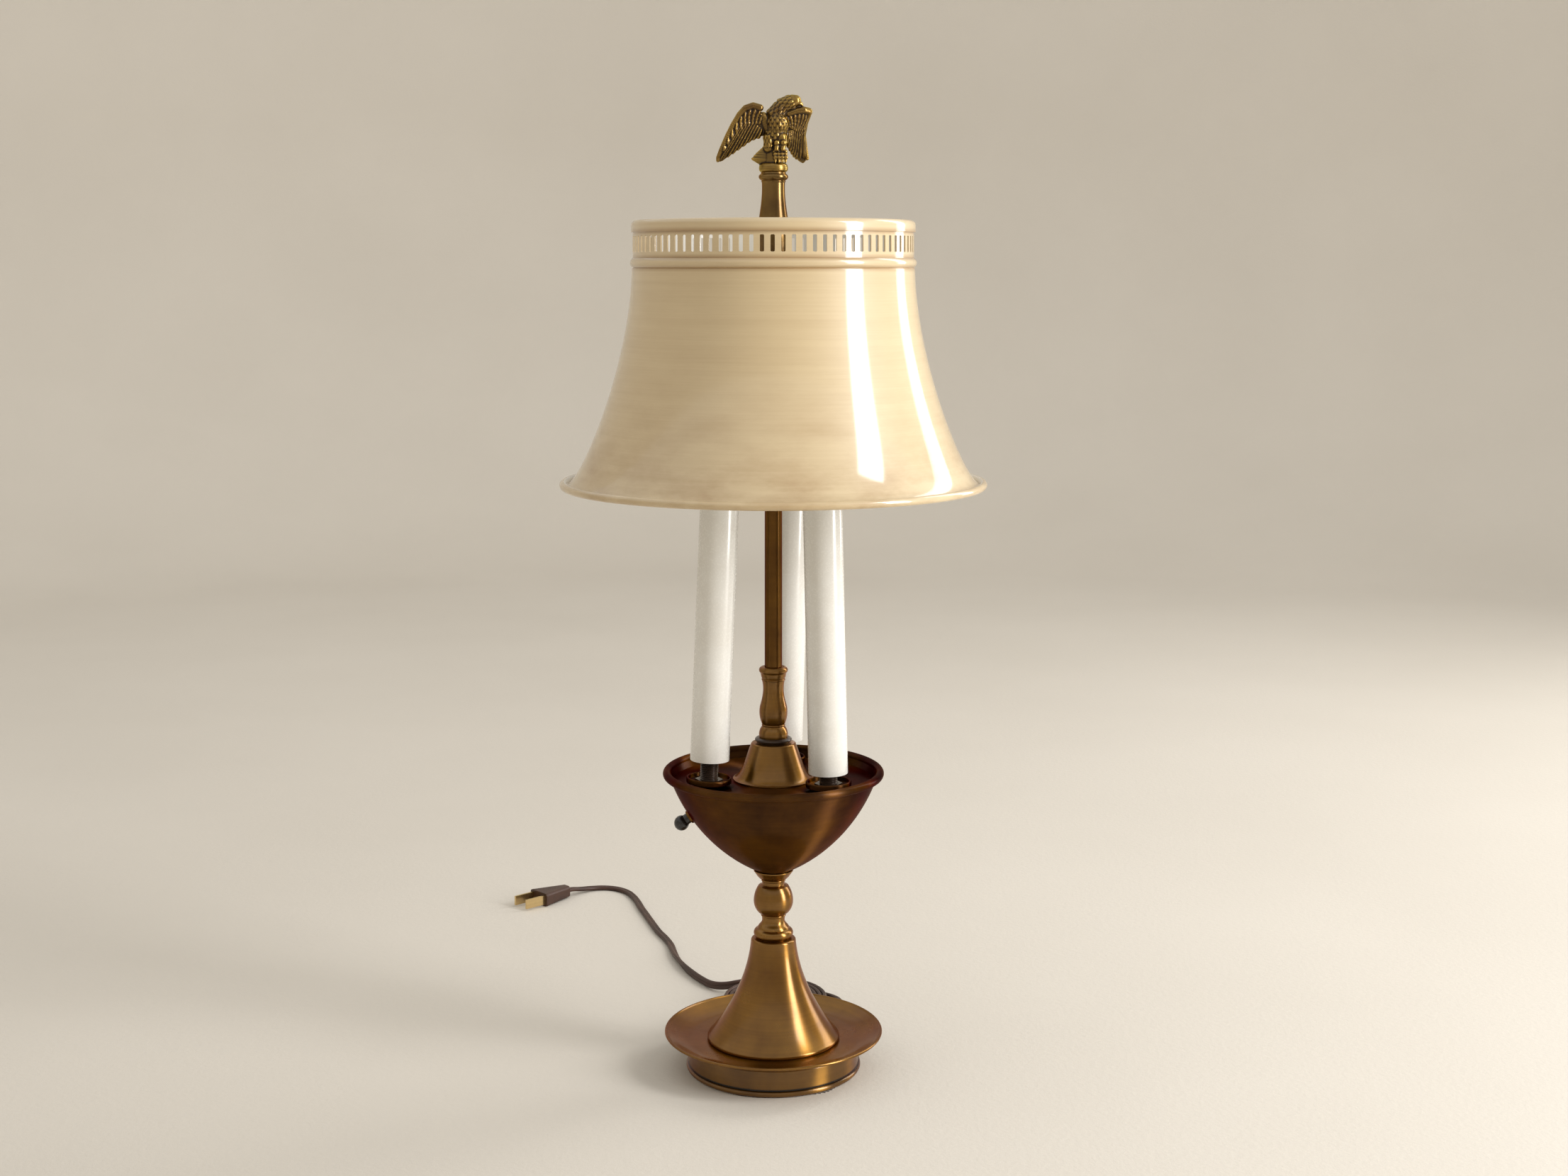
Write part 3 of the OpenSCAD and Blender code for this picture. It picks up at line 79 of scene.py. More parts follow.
class Slot(str, Enum):
    """The record's material slots."""

    FELT = "felt"
    SATIN_BRASS = "satin_brass"
    FINIAL_BRASS = "finial_brass"
    DARK_BRASS = "dark_brass"
    BROWN_METAL = "brown_metal"
    ROD_BRASS = "rod_brass"
    SHADE_ENAMEL = "shade_enamel"
    STEEL = "steel"
    IRON = "iron"
    SOCKET_WHITE = "socket_white"
    CONTACT_BRASS = "contact_brass"
    CANDLE_WHITE = "candle_white"
    BLACK_PLASTIC = "black_plastic"
    CORD_BROWN = "cord_brown"


class Body(str, Enum):
    """The bodies of the moving model that carry new pieces."""

    STAND = "stand"
    SHADE = "shade"
    FINIAL = "finial"
    COVER_LEFT = "cover_left"
    COVER_RIGHT = "cover_right"
    COVER_BACK = "cover_back"


# Outlines


def bezier(p0: Point2, p1: Point2, p2: Point2, p3: Point2, steps: int) -> list[Point2]:
    """Points on a cubic curve.

    Args:
        p0: first point.
        p1: first control point.
        p2: second control point.
        p3: last point.
        steps: number of stretches.

    Returns:
        steps + 1 points.
    """
    points = []
    for i in range(steps + 1):
        t = i / steps
        u = 1 - t
        a, b, c, d = u * u * u, 3 * u * u * t, 3 * u * t * t, t * t * t
        points.append(tuple(a * p0[n] + b * p1[n] + c * p2[n] + d * p3[n] for n in (0, 1)))
    return points


def arc(centre: Point2, radius: float, start: float, end: float, steps: int) -> list[Point2]:
    """Points on an arc.

    Args:
        centre: its centre.
        radius: its radius.
        start: angle of the first point, in degrees from +r.
        end: angle of the last point.
        steps: number of stretches.

    Returns:
        steps + 1 points.
    """
    angles = (math.radians(start + (end - start) * i / steps) for i in range(steps + 1))
    return [(centre[0] + radius * math.cos(a), centre[1] + radius * math.sin(a)) for a in angles]


def beside(path: Sequence[Point2], distance: float) -> list[Point2]:
    """The same path moved sideways.

    Args:
        path: an open path.
        distance: how far to the left of its direction.

    Returns:
        as many points as the path has.
    """
    moved = []
    last = len(path) - 1
    for i, (x, y) in enumerate(path):
        ax, ay = path[max(i - 1, 0)]
        bx, by = path[min(i + 1, last)]
        length = math.hypot(bx - ax, by - ay)
        moved.append((x - distance * (by - ay) / length, y + distance * (bx - ax) / length))
    return moved


def eased(outline: Sequence[Point2], radius: float, closed: bool = True, steps: int = 3) -> list[Point2]:
    """Rounds the sharp corners of an outline.

    Args:
        outline: its points.
        radius: how far from a corner the rounding starts.
        closed: whether the last point joins the first.
        steps: stretches in each rounding.

    Returns:
        the outline with each corner of more than 28 degrees rounded.
    """
    corner, share = math.radians(28), 0.45
    count = len(outline)
    points: list[Point2] = []
    for i, point in enumerate(outline):
        p = Vector(point)
        before, after = Vector(outline[i - 1]) - p, Vector(outline[(i + 1) % count]) - p
        kept = min(before.length, after.length) < 1e-6 or not closed and i in (0, count - 1)
        if kept or math.pi - before.angle(after) < corner:
            points.append(point)
            continue
        a = p + before.normalized() * min(radius, before.length * share)
        b = p + after.normalized() * min(radius, after.length * share)
        for k in range(steps + 1):
            t = k / steps
            points.append((a * (1 - t) * (1 - t) + p * 2 * t * (1 - t) + b * t * t)[:])
    return points


# Meshes


def moved(point: Sequence[float], x: float, y: float, z: float) -> Vector:
    """A point moved by x, y and z."""
    return Vector(point) + Vector((x, y, z))


def new_object(name: str, data: Mesh | bpy.types.Light | bpy.types.Camera) -> Piece:
    """Links an object with that mesh, lamp or camera to the scene and returns it."""
    piece = bpy.data.objects.new(name, data)
    bpy.context.scene.collection.objects.link(piece)
    return piece


def mesh_of(
    name: str, points: Iterable[Sequence[float]], faces: Iterable[Sequence[int]], scale: float = MM
) -> Mesh:
    """A mesh from points and faces.

    Args:
        name: the mesh's name.
        points: corners.
        faces: corner numbers of each face.
        scale: metres to the unit of the points, which is a millimetre if not given.

    Returns:
        the mesh.
    """
    mesh = bpy.data.meshes.new(name)
    mesh.from_pydata([[c * scale for c in p] for p in points], [], [list(f) for f in faces])
    mesh.update()
    return mesh


def finish_mesh(mesh: Mesh, sharp: float = 32, outward: bool = True) -> None:
    """Closes seams, turns faces outwards and shades the mesh smooth up to an angle.

    Args:
        mesh: the mesh to finish, in metres.
        sharp: angle in degrees past which an edge stays sharp.
        outward: whether the faces are turned outwards.
    """
    bm = bmesh.new()
    bm.from_mesh(mesh)
    bmesh.ops.remove_doubles(bm, verts=bm.verts, dist=SEAM)
    bmesh.ops.dissolve_degenerate(bm, edges=bm.edges, dist=SLIVER)
    if outward:
        bmesh.ops.recalc_face_normals(bm, faces=bm.faces)
    for face in bm.faces:
        face.smooth = True
    bm.to_mesh(mesh)
    bm.free()
    mesh.set_sharp_from_angle(angle=math.radians(sharp))
    mesh.update()


def circle(radius: float, z: float, sides: int) -> list[Vector]:
    """Points round the Z axis, right-handed from +X, at a height."""
    angles = (TURN * k / sides for k in range(sides))
    return [Vector((radius * math.cos(a), radius * math.sin(a), z)) for a in angles]


def skin(rings: Sequence[Sequence[Sequence[float]]], capped: bool = True) -> Skin:
    """Points and faces of a tube over rings of equal count.

    Args:
        rings: its sections, turning right-handed about the way the tube goes.
        capped: whether both ends get a face.

    Returns:
        the points and the faces.
    """
    sides = len(rings[0])
    points = [p for ring in rings for p in ring]
    starts = range(0, len(points), sides)
    faces = []
    for a, b in pairwise(starts):
        for k in range(sides):
            m = (k + 1) % sides
            faces.append([a + k, a + m, b + m, b + k])
    if capped:
        faces += [[sides - 1 - k for k in range(sides)], [starts[-1] + k for k in range(sides)]]
    return points, faces


class NodeTree:
    """A node tree that is put together node by node."""

    def __init__(self, tree: bpy.types.NodeTree) -> None:
        """Takes the empty tree."""
        self.tree = tree

    def feed(self, socket: Socket, value: object) -> None:
        """Gives an input another node's output, or a plain value."""
        if isinstance(value, bpy.types.NodeSocket):
            self.tree.links.new(value, socket)
        else:
            socket.default_value = value

    def add(self, kind: str, inputs: dict | Sequence = (), **settings: object) -> bpy.types.Node:
        """Adds a node.

        Args:
            kind: its type.
            inputs: what its inputs are fed, in order or by their names or places.
            settings: its properties.

        Returns:
            the node.
        """
        node = self.tree.nodes.new(kind)
        for key, value in settings.items():
            setattr(node, key, value)
        for key, value in inputs.items() if isinstance(inputs, dict) else enumerate(inputs):
            self.feed(node.inputs[key], value)
        return node

    def math(self, operation: str, *values: Socket | float, clamp: bool = False) -> Socket:
        """The result of a Math node on outputs or numbers."""
        return self.add("ShaderNodeMath", values, operation=operation, use_clamp=clamp).outputs[0]

    def vector(self, operation: str, *values: Socket | Point3) -> bpy.types.NodeOutputs:
        """The results of a Vector Math node on outputs or vectors: its vector and its number."""
        return self.add("ShaderNodeVectorMath", values, operation=operation).outputs


class GeometryTree(NodeTree):
    """A geometry node tree that makes a mesh from a mesh and dresses it."""

    def __init__(self, name: str, count: str) -> None:
        """Starts the tree.

        Args:
            name: the tree's name.
            count: the name of its whole-number input.
        """
        super().__init__(bpy.data.node_groups.new(name, "GeometryNodeTree"))
        face = self.tree.interface
        _, self.count_id, self.finish_id = (
            face.new_socket(name=label, in_out="INPUT", socket_type=f"NodeSocket{kind}").identifier
            for label, kind in (("Geometry", "Geometry"), (count, "Int"), ("Finish", "Material"))
        )
        face.new_socket(name="Geometry", in_out="OUTPUT", socket_type="NodeSocketGeometry")
        self.group = self.add("NodeGroupInput")
        self.seed, self.count, self.finish = list(self.group.outputs)[:3]

    def end(self, geometry: Socket) -> None:
        """Ends the tree in Realize Instances and Set Material."""
        real = self.add("GeometryNodeRealizeInstances", {"Geometry": geometry}).outputs["Geometry"]
        dress = self.add("GeometryNodeSetMaterial", {"Geometry": real, "Material": self.finish})
        self.add("NodeGroupOutput", {"Geometry": dress.outputs["Geometry"]})

    def run(self, name: str, seed: Mesh, count: int, finish: Material) -> Mesh:
        """Runs the tree on a mesh.

        Args:
            name: name of the result.
            seed: the mesh that the tree starts from.
            count: its whole number.
            finish: its material.

        Returns:
            the evaluated mesh, as a plain mesh.
        """
        holder = new_object(f"{name}_seed", seed)
        modifier = holder.modifiers.new("nodes", "NODES")
        modifier.node_group = self.tree
        modifier[self.count_id] = count
        modifier[self.finish_id] = finish
        evaluated = holder.evaluated_get(bpy.context.evaluated_depsgraph_get())
        mesh = bpy.data.meshes.new_from_object(evaluated)
        mesh.name = name
        holder.modifiers.remove(modifier)
        bpy.data.objects.remove(holder)
        finish_mesh(mesh)
        return mesh


def turned_outline() -> GeometryTree:
    """Node tree that turns an outline, drawn from +X upwards, about the Z axis."""
    t = GeometryTree("turned_outline", "Sides")
    size = t.add("GeometryNodeAttributeDomainSize", [t.seed], component="MESH")
    columns = t.math("ADD", t.count, 1)
    grid = t.add("GeometryNodeMeshGrid", {"Vertices X": size.outputs["Point Count"], "Vertices Y": columns})
    index = t.add("GeometryNodeInputIndex").outputs[0]
    row = t.math("FLOOR", t.math("DIVIDE", t.math("ADD", index, 0.5), columns))
    angle = t.math("MULTIPLY", t.math("DIVIDE", t.math("MODULO", index, columns), t.count), TURN)
    place = t.add("GeometryNodeInputPosition").outputs[0]
    sources = {"Geometry": t.seed, "Value": place, "Index": row}
    sample = t.add("GeometryNodeSampleIndex", sources, data_type="FLOAT_VECTOR", domain="POINT")
    radius, _, height = t.add("ShaderNodeSeparateXYZ", [sample.outputs[0]]).outputs
    x, y = (t.math("MULTIPLY", radius, t.math(part, angle)) for part in ("COSINE", "SINE"))
    join = t.add("ShaderNodeCombineXYZ", [x, y, height])
    move = t.add("GeometryNodeSetPosition", {"Geometry": grid.outputs["Mesh"], "Position": join.outputs[0]})
    t.end(move.outputs["Geometry"])
    return t


def ring_array() -> GeometryTree:
    """Node tree that repeats a small mesh round the Z axis."""
    t = GeometryTree("ring_array", "Count")
    line = t.add("GeometryNodeMeshLine", {"Count": t.count, "Offset": (0, 0, 0)})
    index = t.add("GeometryNodeInputIndex").outputs[0]
    angle = t.math("MULTIPLY", t.math("DIVIDE", index, t.count), TURN)
    turn = t.add("ShaderNodeCombineXYZ", {2: angle})
    sources = {"Points": line.outputs["Mesh"], "Instance": t.seed, "Rotation": turn.outputs[0]}
    t.end(t.add("GeometryNodeInstanceOnPoints", sources).outputs["Instances"])
    return t


# Finishes


class Shader(NodeTree):
    """A material that is put together on the object's own coordinates."""

    def __init__(self, name: str) -> None:
        """Starts the material of that name."""
        self.material = bpy.data.materials.new(name)
        self.material.use_nodes = True
        super().__init__(self.material.node_tree)
        self.tree.nodes.clear()
        self.surface = self.add("ShaderNodeBsdfPrincipled")
        self.add("ShaderNodeOutputMaterial", {"Surface": self.surface.outputs[0]})
        coordinates = self.add("ShaderNodeTexCoord").outputs
        self.place, self.normal = coordinates["Object"], coordinates["Normal"]

    def set(self, **values: object) -> None:
        """Feeds inputs of the surface, with underscores for spaces in their names."""
        for key, value in values.items():
            self.feed(self.surface.inputs[key.replace("_", " ")], value)

    def stretched(self, x: float, y: float, z: float) -> Socket:
        """Object coordinates scaled by x, y and z."""
        return self.add("ShaderNodeMapping", {"Vector": self.place, "Scale": (x, y, z)}).outputs[0]

    def noise(self, where: Socket, scale: float, detail: float = 3, rough: float = 0.5) -> Socket:
        """Noise from 0 to 1 at a place."""
        inputs = {"Vector": where, "Scale": scale, "Detail": detail, "Roughness": rough}
        return self.add("ShaderNodeTexNoise", inputs).outputs["Fac"]

    def ramp(self, value: Socket, *stops: tuple[float, Colour | float]) -> Socket:
        """A colour ramp with two stops, each a place and a colour or a grey."""
        node = self.add("ShaderNodeValToRGB", [value])
        for point, (at, colour) in zip(node.color_ramp.elements, stops):
            point.position = at
            point.color = (*colour, 1) if isinstance(colour, tuple) else (colour, colour, colour, 1)
        return node.outputs[0]

    def mix(self, amount: Socket | float, a: object, b: object, blend: str = "MIX") -> Socket:
        """Mixes two colours, each an output or a colour."""
        a, b = ((*colour, 1) if isinstance(colour, tuple) else colour for colour in (a, b))
        node = self.add("ShaderNodeMix", {0: amount, 6: a, 7: b}, data_type="RGBA", blend_type=blend)
        return node.outputs[2]

    @cached_property
    def height(self) -> Socket:
        """Height above the table, in metres."""
        return self.add("ShaderNodeSeparateXYZ", [self.place]).outputs[2]

    def near(self, level: float, peak: float, fall: float) -> Socket:
        """How near the surface is to a height.

        Args:
            level: the height, in millimetres.
            peak: the value there, which is cut off at 1.
            fall: how much less it is for each metre off.

        Returns:
            the value, which is nowhere below 0.
        """
        off = self.math("ABSOLUTE", self.math("SUBTRACT", self.height, level * MM))
        return self.math("SUBTRACT", peak, self.math("MULTIPLY", off, fall), clamp=True)

    def attribute(self, name: str) -> Socket:
        """A number that the piece's own mesh carries at each point."""
        return self.add("ShaderNodeAttribute", attribute_name=name).outputs["Fac"]

    def towards_axis(self) -> Socket:
        """1 where the surface faces the lamp's axis, 0 where it faces out or straight up."""
        level = self.vector("MULTIPLY", self.place, (1, 1, 0))["Vector"]
        outward = self.vector("DOT_PRODUCT", self.vector("NORMALIZE", level)["Vector"], self.normal)
        return self.math("LESS_THAN", outward["Value"], -0.15)

    def turned(self, share: float) -> None:
        """Draws highlights out across the fine rings that turning leaves round the lamp's axis.

        Args:
            share: how far, from 0 to 1.
        """
        around = self.vector("CROSS_PRODUCT", (0, 0, 1), self.place)["Vector"]
        self.set(Anisotropic=share, Tangent=self.vector("CROSS_PRODUCT", around, self.normal)["Vector"])

    def bump(self, height: Socket, depth: float, strength: float = 1) -> None:
        """Raises the surface by a height from 0 to 1 times depth, in metres."""
        inputs = {"Strength": strength, "Distance": depth, "Height": height}
        self.set(Normal=self.add("ShaderNodeBump", inputs).outputs[0])


@dataclass(frozen=True)
class Brass:
    """Brass that was turned or cast, browned and worn bright in patches.

    Attributes:
        name: the material's name.
        bright: its colour where it is worn bright.
        brown: its colour where it is browned.
        rough: roughness where it is worn bright and where it isn't.
        cover: the noise level at which brown turns into bright.
        rings: how close the turning rings are.
        depth: how deep the rings and patches are, in metres.
        lacquer: weight of the clear coat.
        drawn: how far its highlights are drawn out across the rings.
        recess: name of the attribute that is 0 in recesses, if there is one; those recesses are darkened,
            partly as patina and partly as painted shade.
        shaded_creases: heights of grooves that are painted near black as shade.
    """

    name: str
    bright: Colour
    brown: Colour
    rough: tuple[float, float]
    cover: float = 0.5
    rings: float = 900.0
    depth: float = 0.00001
    lacquer: float = 0.5
    drawn: float = 0.0
    recess: str = ""
    shaded_creases: tuple[float, ...] = ()

    def material(self) -> Material:
        """Builds the material."""
        s = Shader(self.name)
        patches = s.noise(s.place, 45, 6, 0.6)
        cloud = s.noise(s.stretched(1, 1, 2.2), 12, 3, 0.55)
        lines = s.noise(s.stretched(6, 6, self.rings), 1, 2, 0.6)
        worn = s.math("ADD", s.math("MULTIPLY", patches, 0.45), s.math("MULTIPLY", cloud, 0.55))
        spread = 0.16
        tone = s.ramp(worn, (self.cover - spread, self.brown), (self.cover + spread, self.bright))
        tone = s.mix(0.3, tone, s.ramp(lines, (0.3, (0.55, 0.53, 0.5)), (0.7, (1, 1, 1))), "MULTIPLY")
        low, high = self.rough
        rough = s.ramp(patches, (0.3, high), (0.7, low))
        # Low relief is darkened to a deep brown and made rough: partly patina in the hollows, partly painted
        # shade.
        if self.recess:
            worn_high_shaded_low = s.ramp(s.attribute(self.recess), (0.38, 0.0), (0.70, 1.0))
            tone = s.mix(worn_high_shaded_low, tuple(c * 0.2 for c in self.brown), tone)
            rough = s.mix(worn_high_shaded_low, (0.6, 0.6, 0.6), rough)
        # Painted shade: a thin band round each of these heights is darkened to near black.
        for shaded_crease in self.shaded_creases:
            tone = s.mix(s.near(shaded_crease, 1.5, 1700.0), tone, (0.012, 0.007, 0.004))
        s.set(Base_Color=tone, Metallic=1.0, Roughness=rough, Coat_Weight=self.lacquer, Coat_Roughness=0.17)
        s.set(Specular_Tint=(*(min(1.0, c * 2.0 + 0.09) for c in self.bright), 1.0))
        if self.drawn:
            s.turned(self.drawn)
        s.bump(s.mix(0.5, lines, patches), self.depth)
        return s.material


@dataclass(frozen=True)
class Enamel:
    """Cream enamel, glazed with tan in level brush strokes.

    Attributes:
        name: the material's name.
        cream: the enamel's colour.
        tan: the glaze's colour.
        inside: the colour of the side that faces the axis.
        top: height from which the glaze grows downwards.
        bottom: height at which it is heaviest.
        shaded_creases: heights at which more tan is laid on, as painted shade in the creases.
    """

    name: str
    cream: Colour
    tan: Colour
    inside: Colour
    top: float
    bottom: float
    shaded_creases: tuple[float, ...]

    def material(self) -> Material:
        """Builds the material."""
        s = Shader(self.name)
        strokes = s.noise(s.stretched(4, 4, 260), 1, 4, 0.6)
        fine = s.noise(s.stretched(16, 16, 900), 1, 4, 0.7)
        blotch = s.noise(s.stretched(1, 1, 2.6), 26, 5, 0.62)
        span = (self.top - self.bottom) * MM
        down = s.math("DIVIDE", s.math("SUBTRACT", self.top * MM, s.height), span, clamp=True)
        share = s.math("ADD", 0.10, s.math("MULTIPLY", s.math("POWER", down, 4.0), 0.75))
        glaze = s.math("ADD", s.math("MULTIPLY", strokes, 0.6), s.math("MULTIPLY", fine, 0.4))
        streak = s.math("MULTIPLY", s.ramp(glaze, (0.40, 0.0), (0.72, 1.0)), 0.26)
        mottle = s.math("MULTIPLY", s.ramp(blotch, (0.38, 0.0), (0.72, 1.0)), share)
        amount = s.math("ADD", streak, mottle)
        # Painted shade: the tan grows heavier near each crease.
        for shaded_crease in self.shaded_creases:
            amount = s.math("ADD", amount, s.near(shaded_crease, 0.85, 400.0))
        amount = s.math("MINIMUM", amount, 1.0)
        colour = s.mix(s.towards_axis(), s.mix(amount, self.cream, self.tan), self.inside)
        s.set(Base_Color=colour, Roughness=0.5, Specular_IOR_Level=1.0)
        s.set(Coat_Weight=1.0, Coat_Roughness=0.09, Coat_IOR=1.6)
        s.bump(glaze, 0.00003, 0.5)
        return s.material


@dataclass(frozen=True)
class Moulded:
    """Plastic, lacquer, porcelain or plain metal: one colour with faint cloudiness and a light skin.

    Attributes:
        name: the material's name.
        colour: its colour.
        shadow: its colour in the darker clouds.
        roughness: its mean roughness.
        coat: weight of the clear coat.
        grain: how fine its skin is.
        depth: how deep the skin is, in metres.
        metallic: how metallic it is, from 0 to 1.
    """

    name: str
    colour: Colour
    shadow: Colour
    roughness: float
    coat: float = 0.0
    grain: float = 900.0
    depth: float = 0.00001
    metallic: float = 0.0

    def material(self) -> Material:
        """Builds the material."""
        s = Shader(self.name)
        cloud = s.noise(s.place, 60, 4, 0.55)
        grain = s.noise(s.place, self.grain, 2, 0.5)
        colour = s.ramp(cloud, (0.35, self.shadow), (0.65, self.colour))
        rough = s.ramp(grain, (0.3, self.roughness * 0.85), (0.7, min(1.0, self.roughness * 1.15)))
        s.set(Base_Color=colour, Roughness=rough, Metallic=self.metallic)
        s.set(Coat_Weight=self.coat, Coat_Roughness=0.08)
        s.bump(grain, self.depth)
        return s.material


@dataclass(frozen=True)
class Felt:
    """Thick felt: short matted fibres of one colour, with lighter flecks."""

    name: str
    colour: Colour
    fleck: Colour

    def material(self) -> Material:
        """Builds the material."""
        s = Shader(self.name)
        fibres = s.noise(s.place, 2600, 6, 0.75)
        colour = s.ramp(fibres, (0.35, self.colour), (0.75, self.fleck))
        s.set(Base_Color=colour, Roughness=0.95, Sheen_Weight=0.4)
        s.bump(fibres, 0.0003)
        return s.material


FINISHES = {
    Slot.FELT: Felt("felt", (0.035, 0.024, 0.017), (0.13, 0.10, 0.08)),
    Slot.SATIN_BRASS: Brass(
        "satin_brass", (0.29, 0.145, 0.022), (0.165, 0.072, 0.011), (0.25, 0.37),
        cover=0.49, lacquer=0.6, drawn=0.85,
    ),
    Slot.FINIAL_BRASS: Brass(
        "finial_brass", (0.30, 0.185, 0.055), (0.075, 0.036, 0.014), (0.18, 0.32),
        cover=0.52, rings=60.0, depth=0.00002, lacquer=0.3, drawn=0.4,
    ),
    Slot.DARK_BRASS: Brass(
        "dark_brass", (0.165, 0.070, 0.012), (0.050, 0.019, 0.008), (0.38, 0.45),
        cover=0.53, lacquer=0.1, drawn=1.0,
    ),
    Slot.ROD_BRASS: Brass(
        "rod_brass", (0.18, 0.085, 0.014), (0.085, 0.036, 0.008), (0.20, 0.28),
        rings=300.0, lacquer=0.15,
    ),
    Slot.BROWN_METAL: Moulded(
        "brown_lacquer", (0.060, 0.034, 0.020), (0.030, 0.017, 0.011), 0.36,
        coat=0.3, grain=500.0, depth=0.00003, metallic=0.4,
    ),
    # Its tan is laid on heavier at the shade's beads and seams as painted shade.
    Slot.SHADE_ENAMEL: Enamel(
        "cream_enamel", (0.64, 0.50, 0.285), (0.40, 0.25, 0.10), (0.74, 0.72, 0.66),
        top=478.0, bottom=329.0, shaded_creases=(451.6, 457.6, 472.1),
    ),
    Slot.STEEL: Moulded(
        "zinc_steel", (0.50, 0.50, 0.50), (0.36, 0.36, 0.35), 0.38, grain=700.0, metallic=1.0
    ),
    Slot.IRON: Moulded(
        "cast_iron", (0.09, 0.085, 0.08), (0.05, 0.045, 0.042), 0.75, grain=350.0, depth=0.0003, metallic=0.6
    ),
    Slot.SOCKET_WHITE: Moulded("socket_white", (0.78, 0.76, 0.70), (0.70, 0.67, 0.60), 0.35),
    Slot.CONTACT_BRASS: Brass(
        "contact_brass", (0.80, 0.60, 0.30), (0.55, 0.39, 0.17), (0.16, 0.30), cover=0.42
    ),
    Slot.CANDLE_WHITE: Moulded("candle_white", (0.80, 0.79, 0.75), (0.76, 0.74, 0.69), 0.26, coat=0.5),
    Slot.BLACK_PLASTIC: Moulded(
        "black_plastic", (0.012, 0.012, 0.012), (0.006, 0.006, 0.006), 0.28, coat=0.3
    ),
    Slot.CORD_BROWN: Moulded(
        "cord_brown", (0.062, 0.024, 0.013), (0.036, 0.014, 0.008), 0.45, grain=1200.0, depth=0.00003
    ),
}


class Workshop:
    """Makes pieces: it holds the finishes and the geometry node trees."""

    def __init__(self, nodes: dict[str, Piece]) -> None:
        """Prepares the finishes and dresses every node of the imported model.

        Args:
            nodes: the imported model's objects, by node.
        """
        self.nodes = nodes
        self.finish = {slot: finish.material() for slot, finish in FINISHES.items()}
        self.lathe = turned_outline()
        self.ring = ring_array()
        for entry in frame["record"]["subparts"]:
            self.dress(entry["node"], self.finish[Slot(entry["material_slot"])])

    def dress(self, node: str, finish: Material) -> None:
        """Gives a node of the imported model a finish."""
        for material_slot in self.nodes[node].material_slots:
            material_slot.material = finish

    def place(self, piece: Piece, body: Body, slot: Slot, *replaced: str) -> Piece:
        """Puts a finished piece on its body.

        Args:
            piece: the piece, with its place in its mesh.
            body: the body that it rides on.
            slot: the record's material slot.
            replaced: the nodes that it stands for.

        Returns:
            the piece.
        """
        if not piece.data.materials or piece.data.materials[0] is None:
            piece.data.materials.clear()
            piece.data.materials.append(self.finish[slot])
        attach(piece, body.value)
        if replaced:
            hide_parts(*replaced)
        log.info("%s: %d faces on %s", piece.name, len(piece.data.polygons), body.value)
        return piece

    def turned(
        self,
        name: str,
        outline: Sequence[Point2],
        body: Body,
        slot: Slot,
        *replaced: str,
        sides: int = 160,
        closed: bool = True,
        frame_of: Matrix | None = None,
        finish: Material | None = None,
    ) -> None:
        """Turns an outline and puts the piece on its body.

        Args:
            name: the piece's name.
            outline: radius and height of each point, in millimetres.
            body: the body that it rides on.
            slot: the record's material slot.
            replaced: the nodes that it stands for.
            sides: number of steps round the axis.
            closed: whether the last point joins the first.
            frame_of: where the outline's axis and origin stand, if not on the lamp's own.
            finish: its finish, if not the slot's.
        """
        points = [(r * MM, 0, z * MM) for r, z in (*outline, *outline[: int(closed)])]
        seed = bpy.data.meshes.new(f"{name}_outline")
        seed.from_pydata(points, list(pairwise(range(len(points)))), [])
        mesh = self.lathe.run(name, seed, sides, finish or self.finish[slot])
        if frame_of is not None:
            mesh.transform(frame_of)
        self.place(new_object(name, mesh), body, slot, *replaced)


# The lamp's sub-assemblies, from the table up


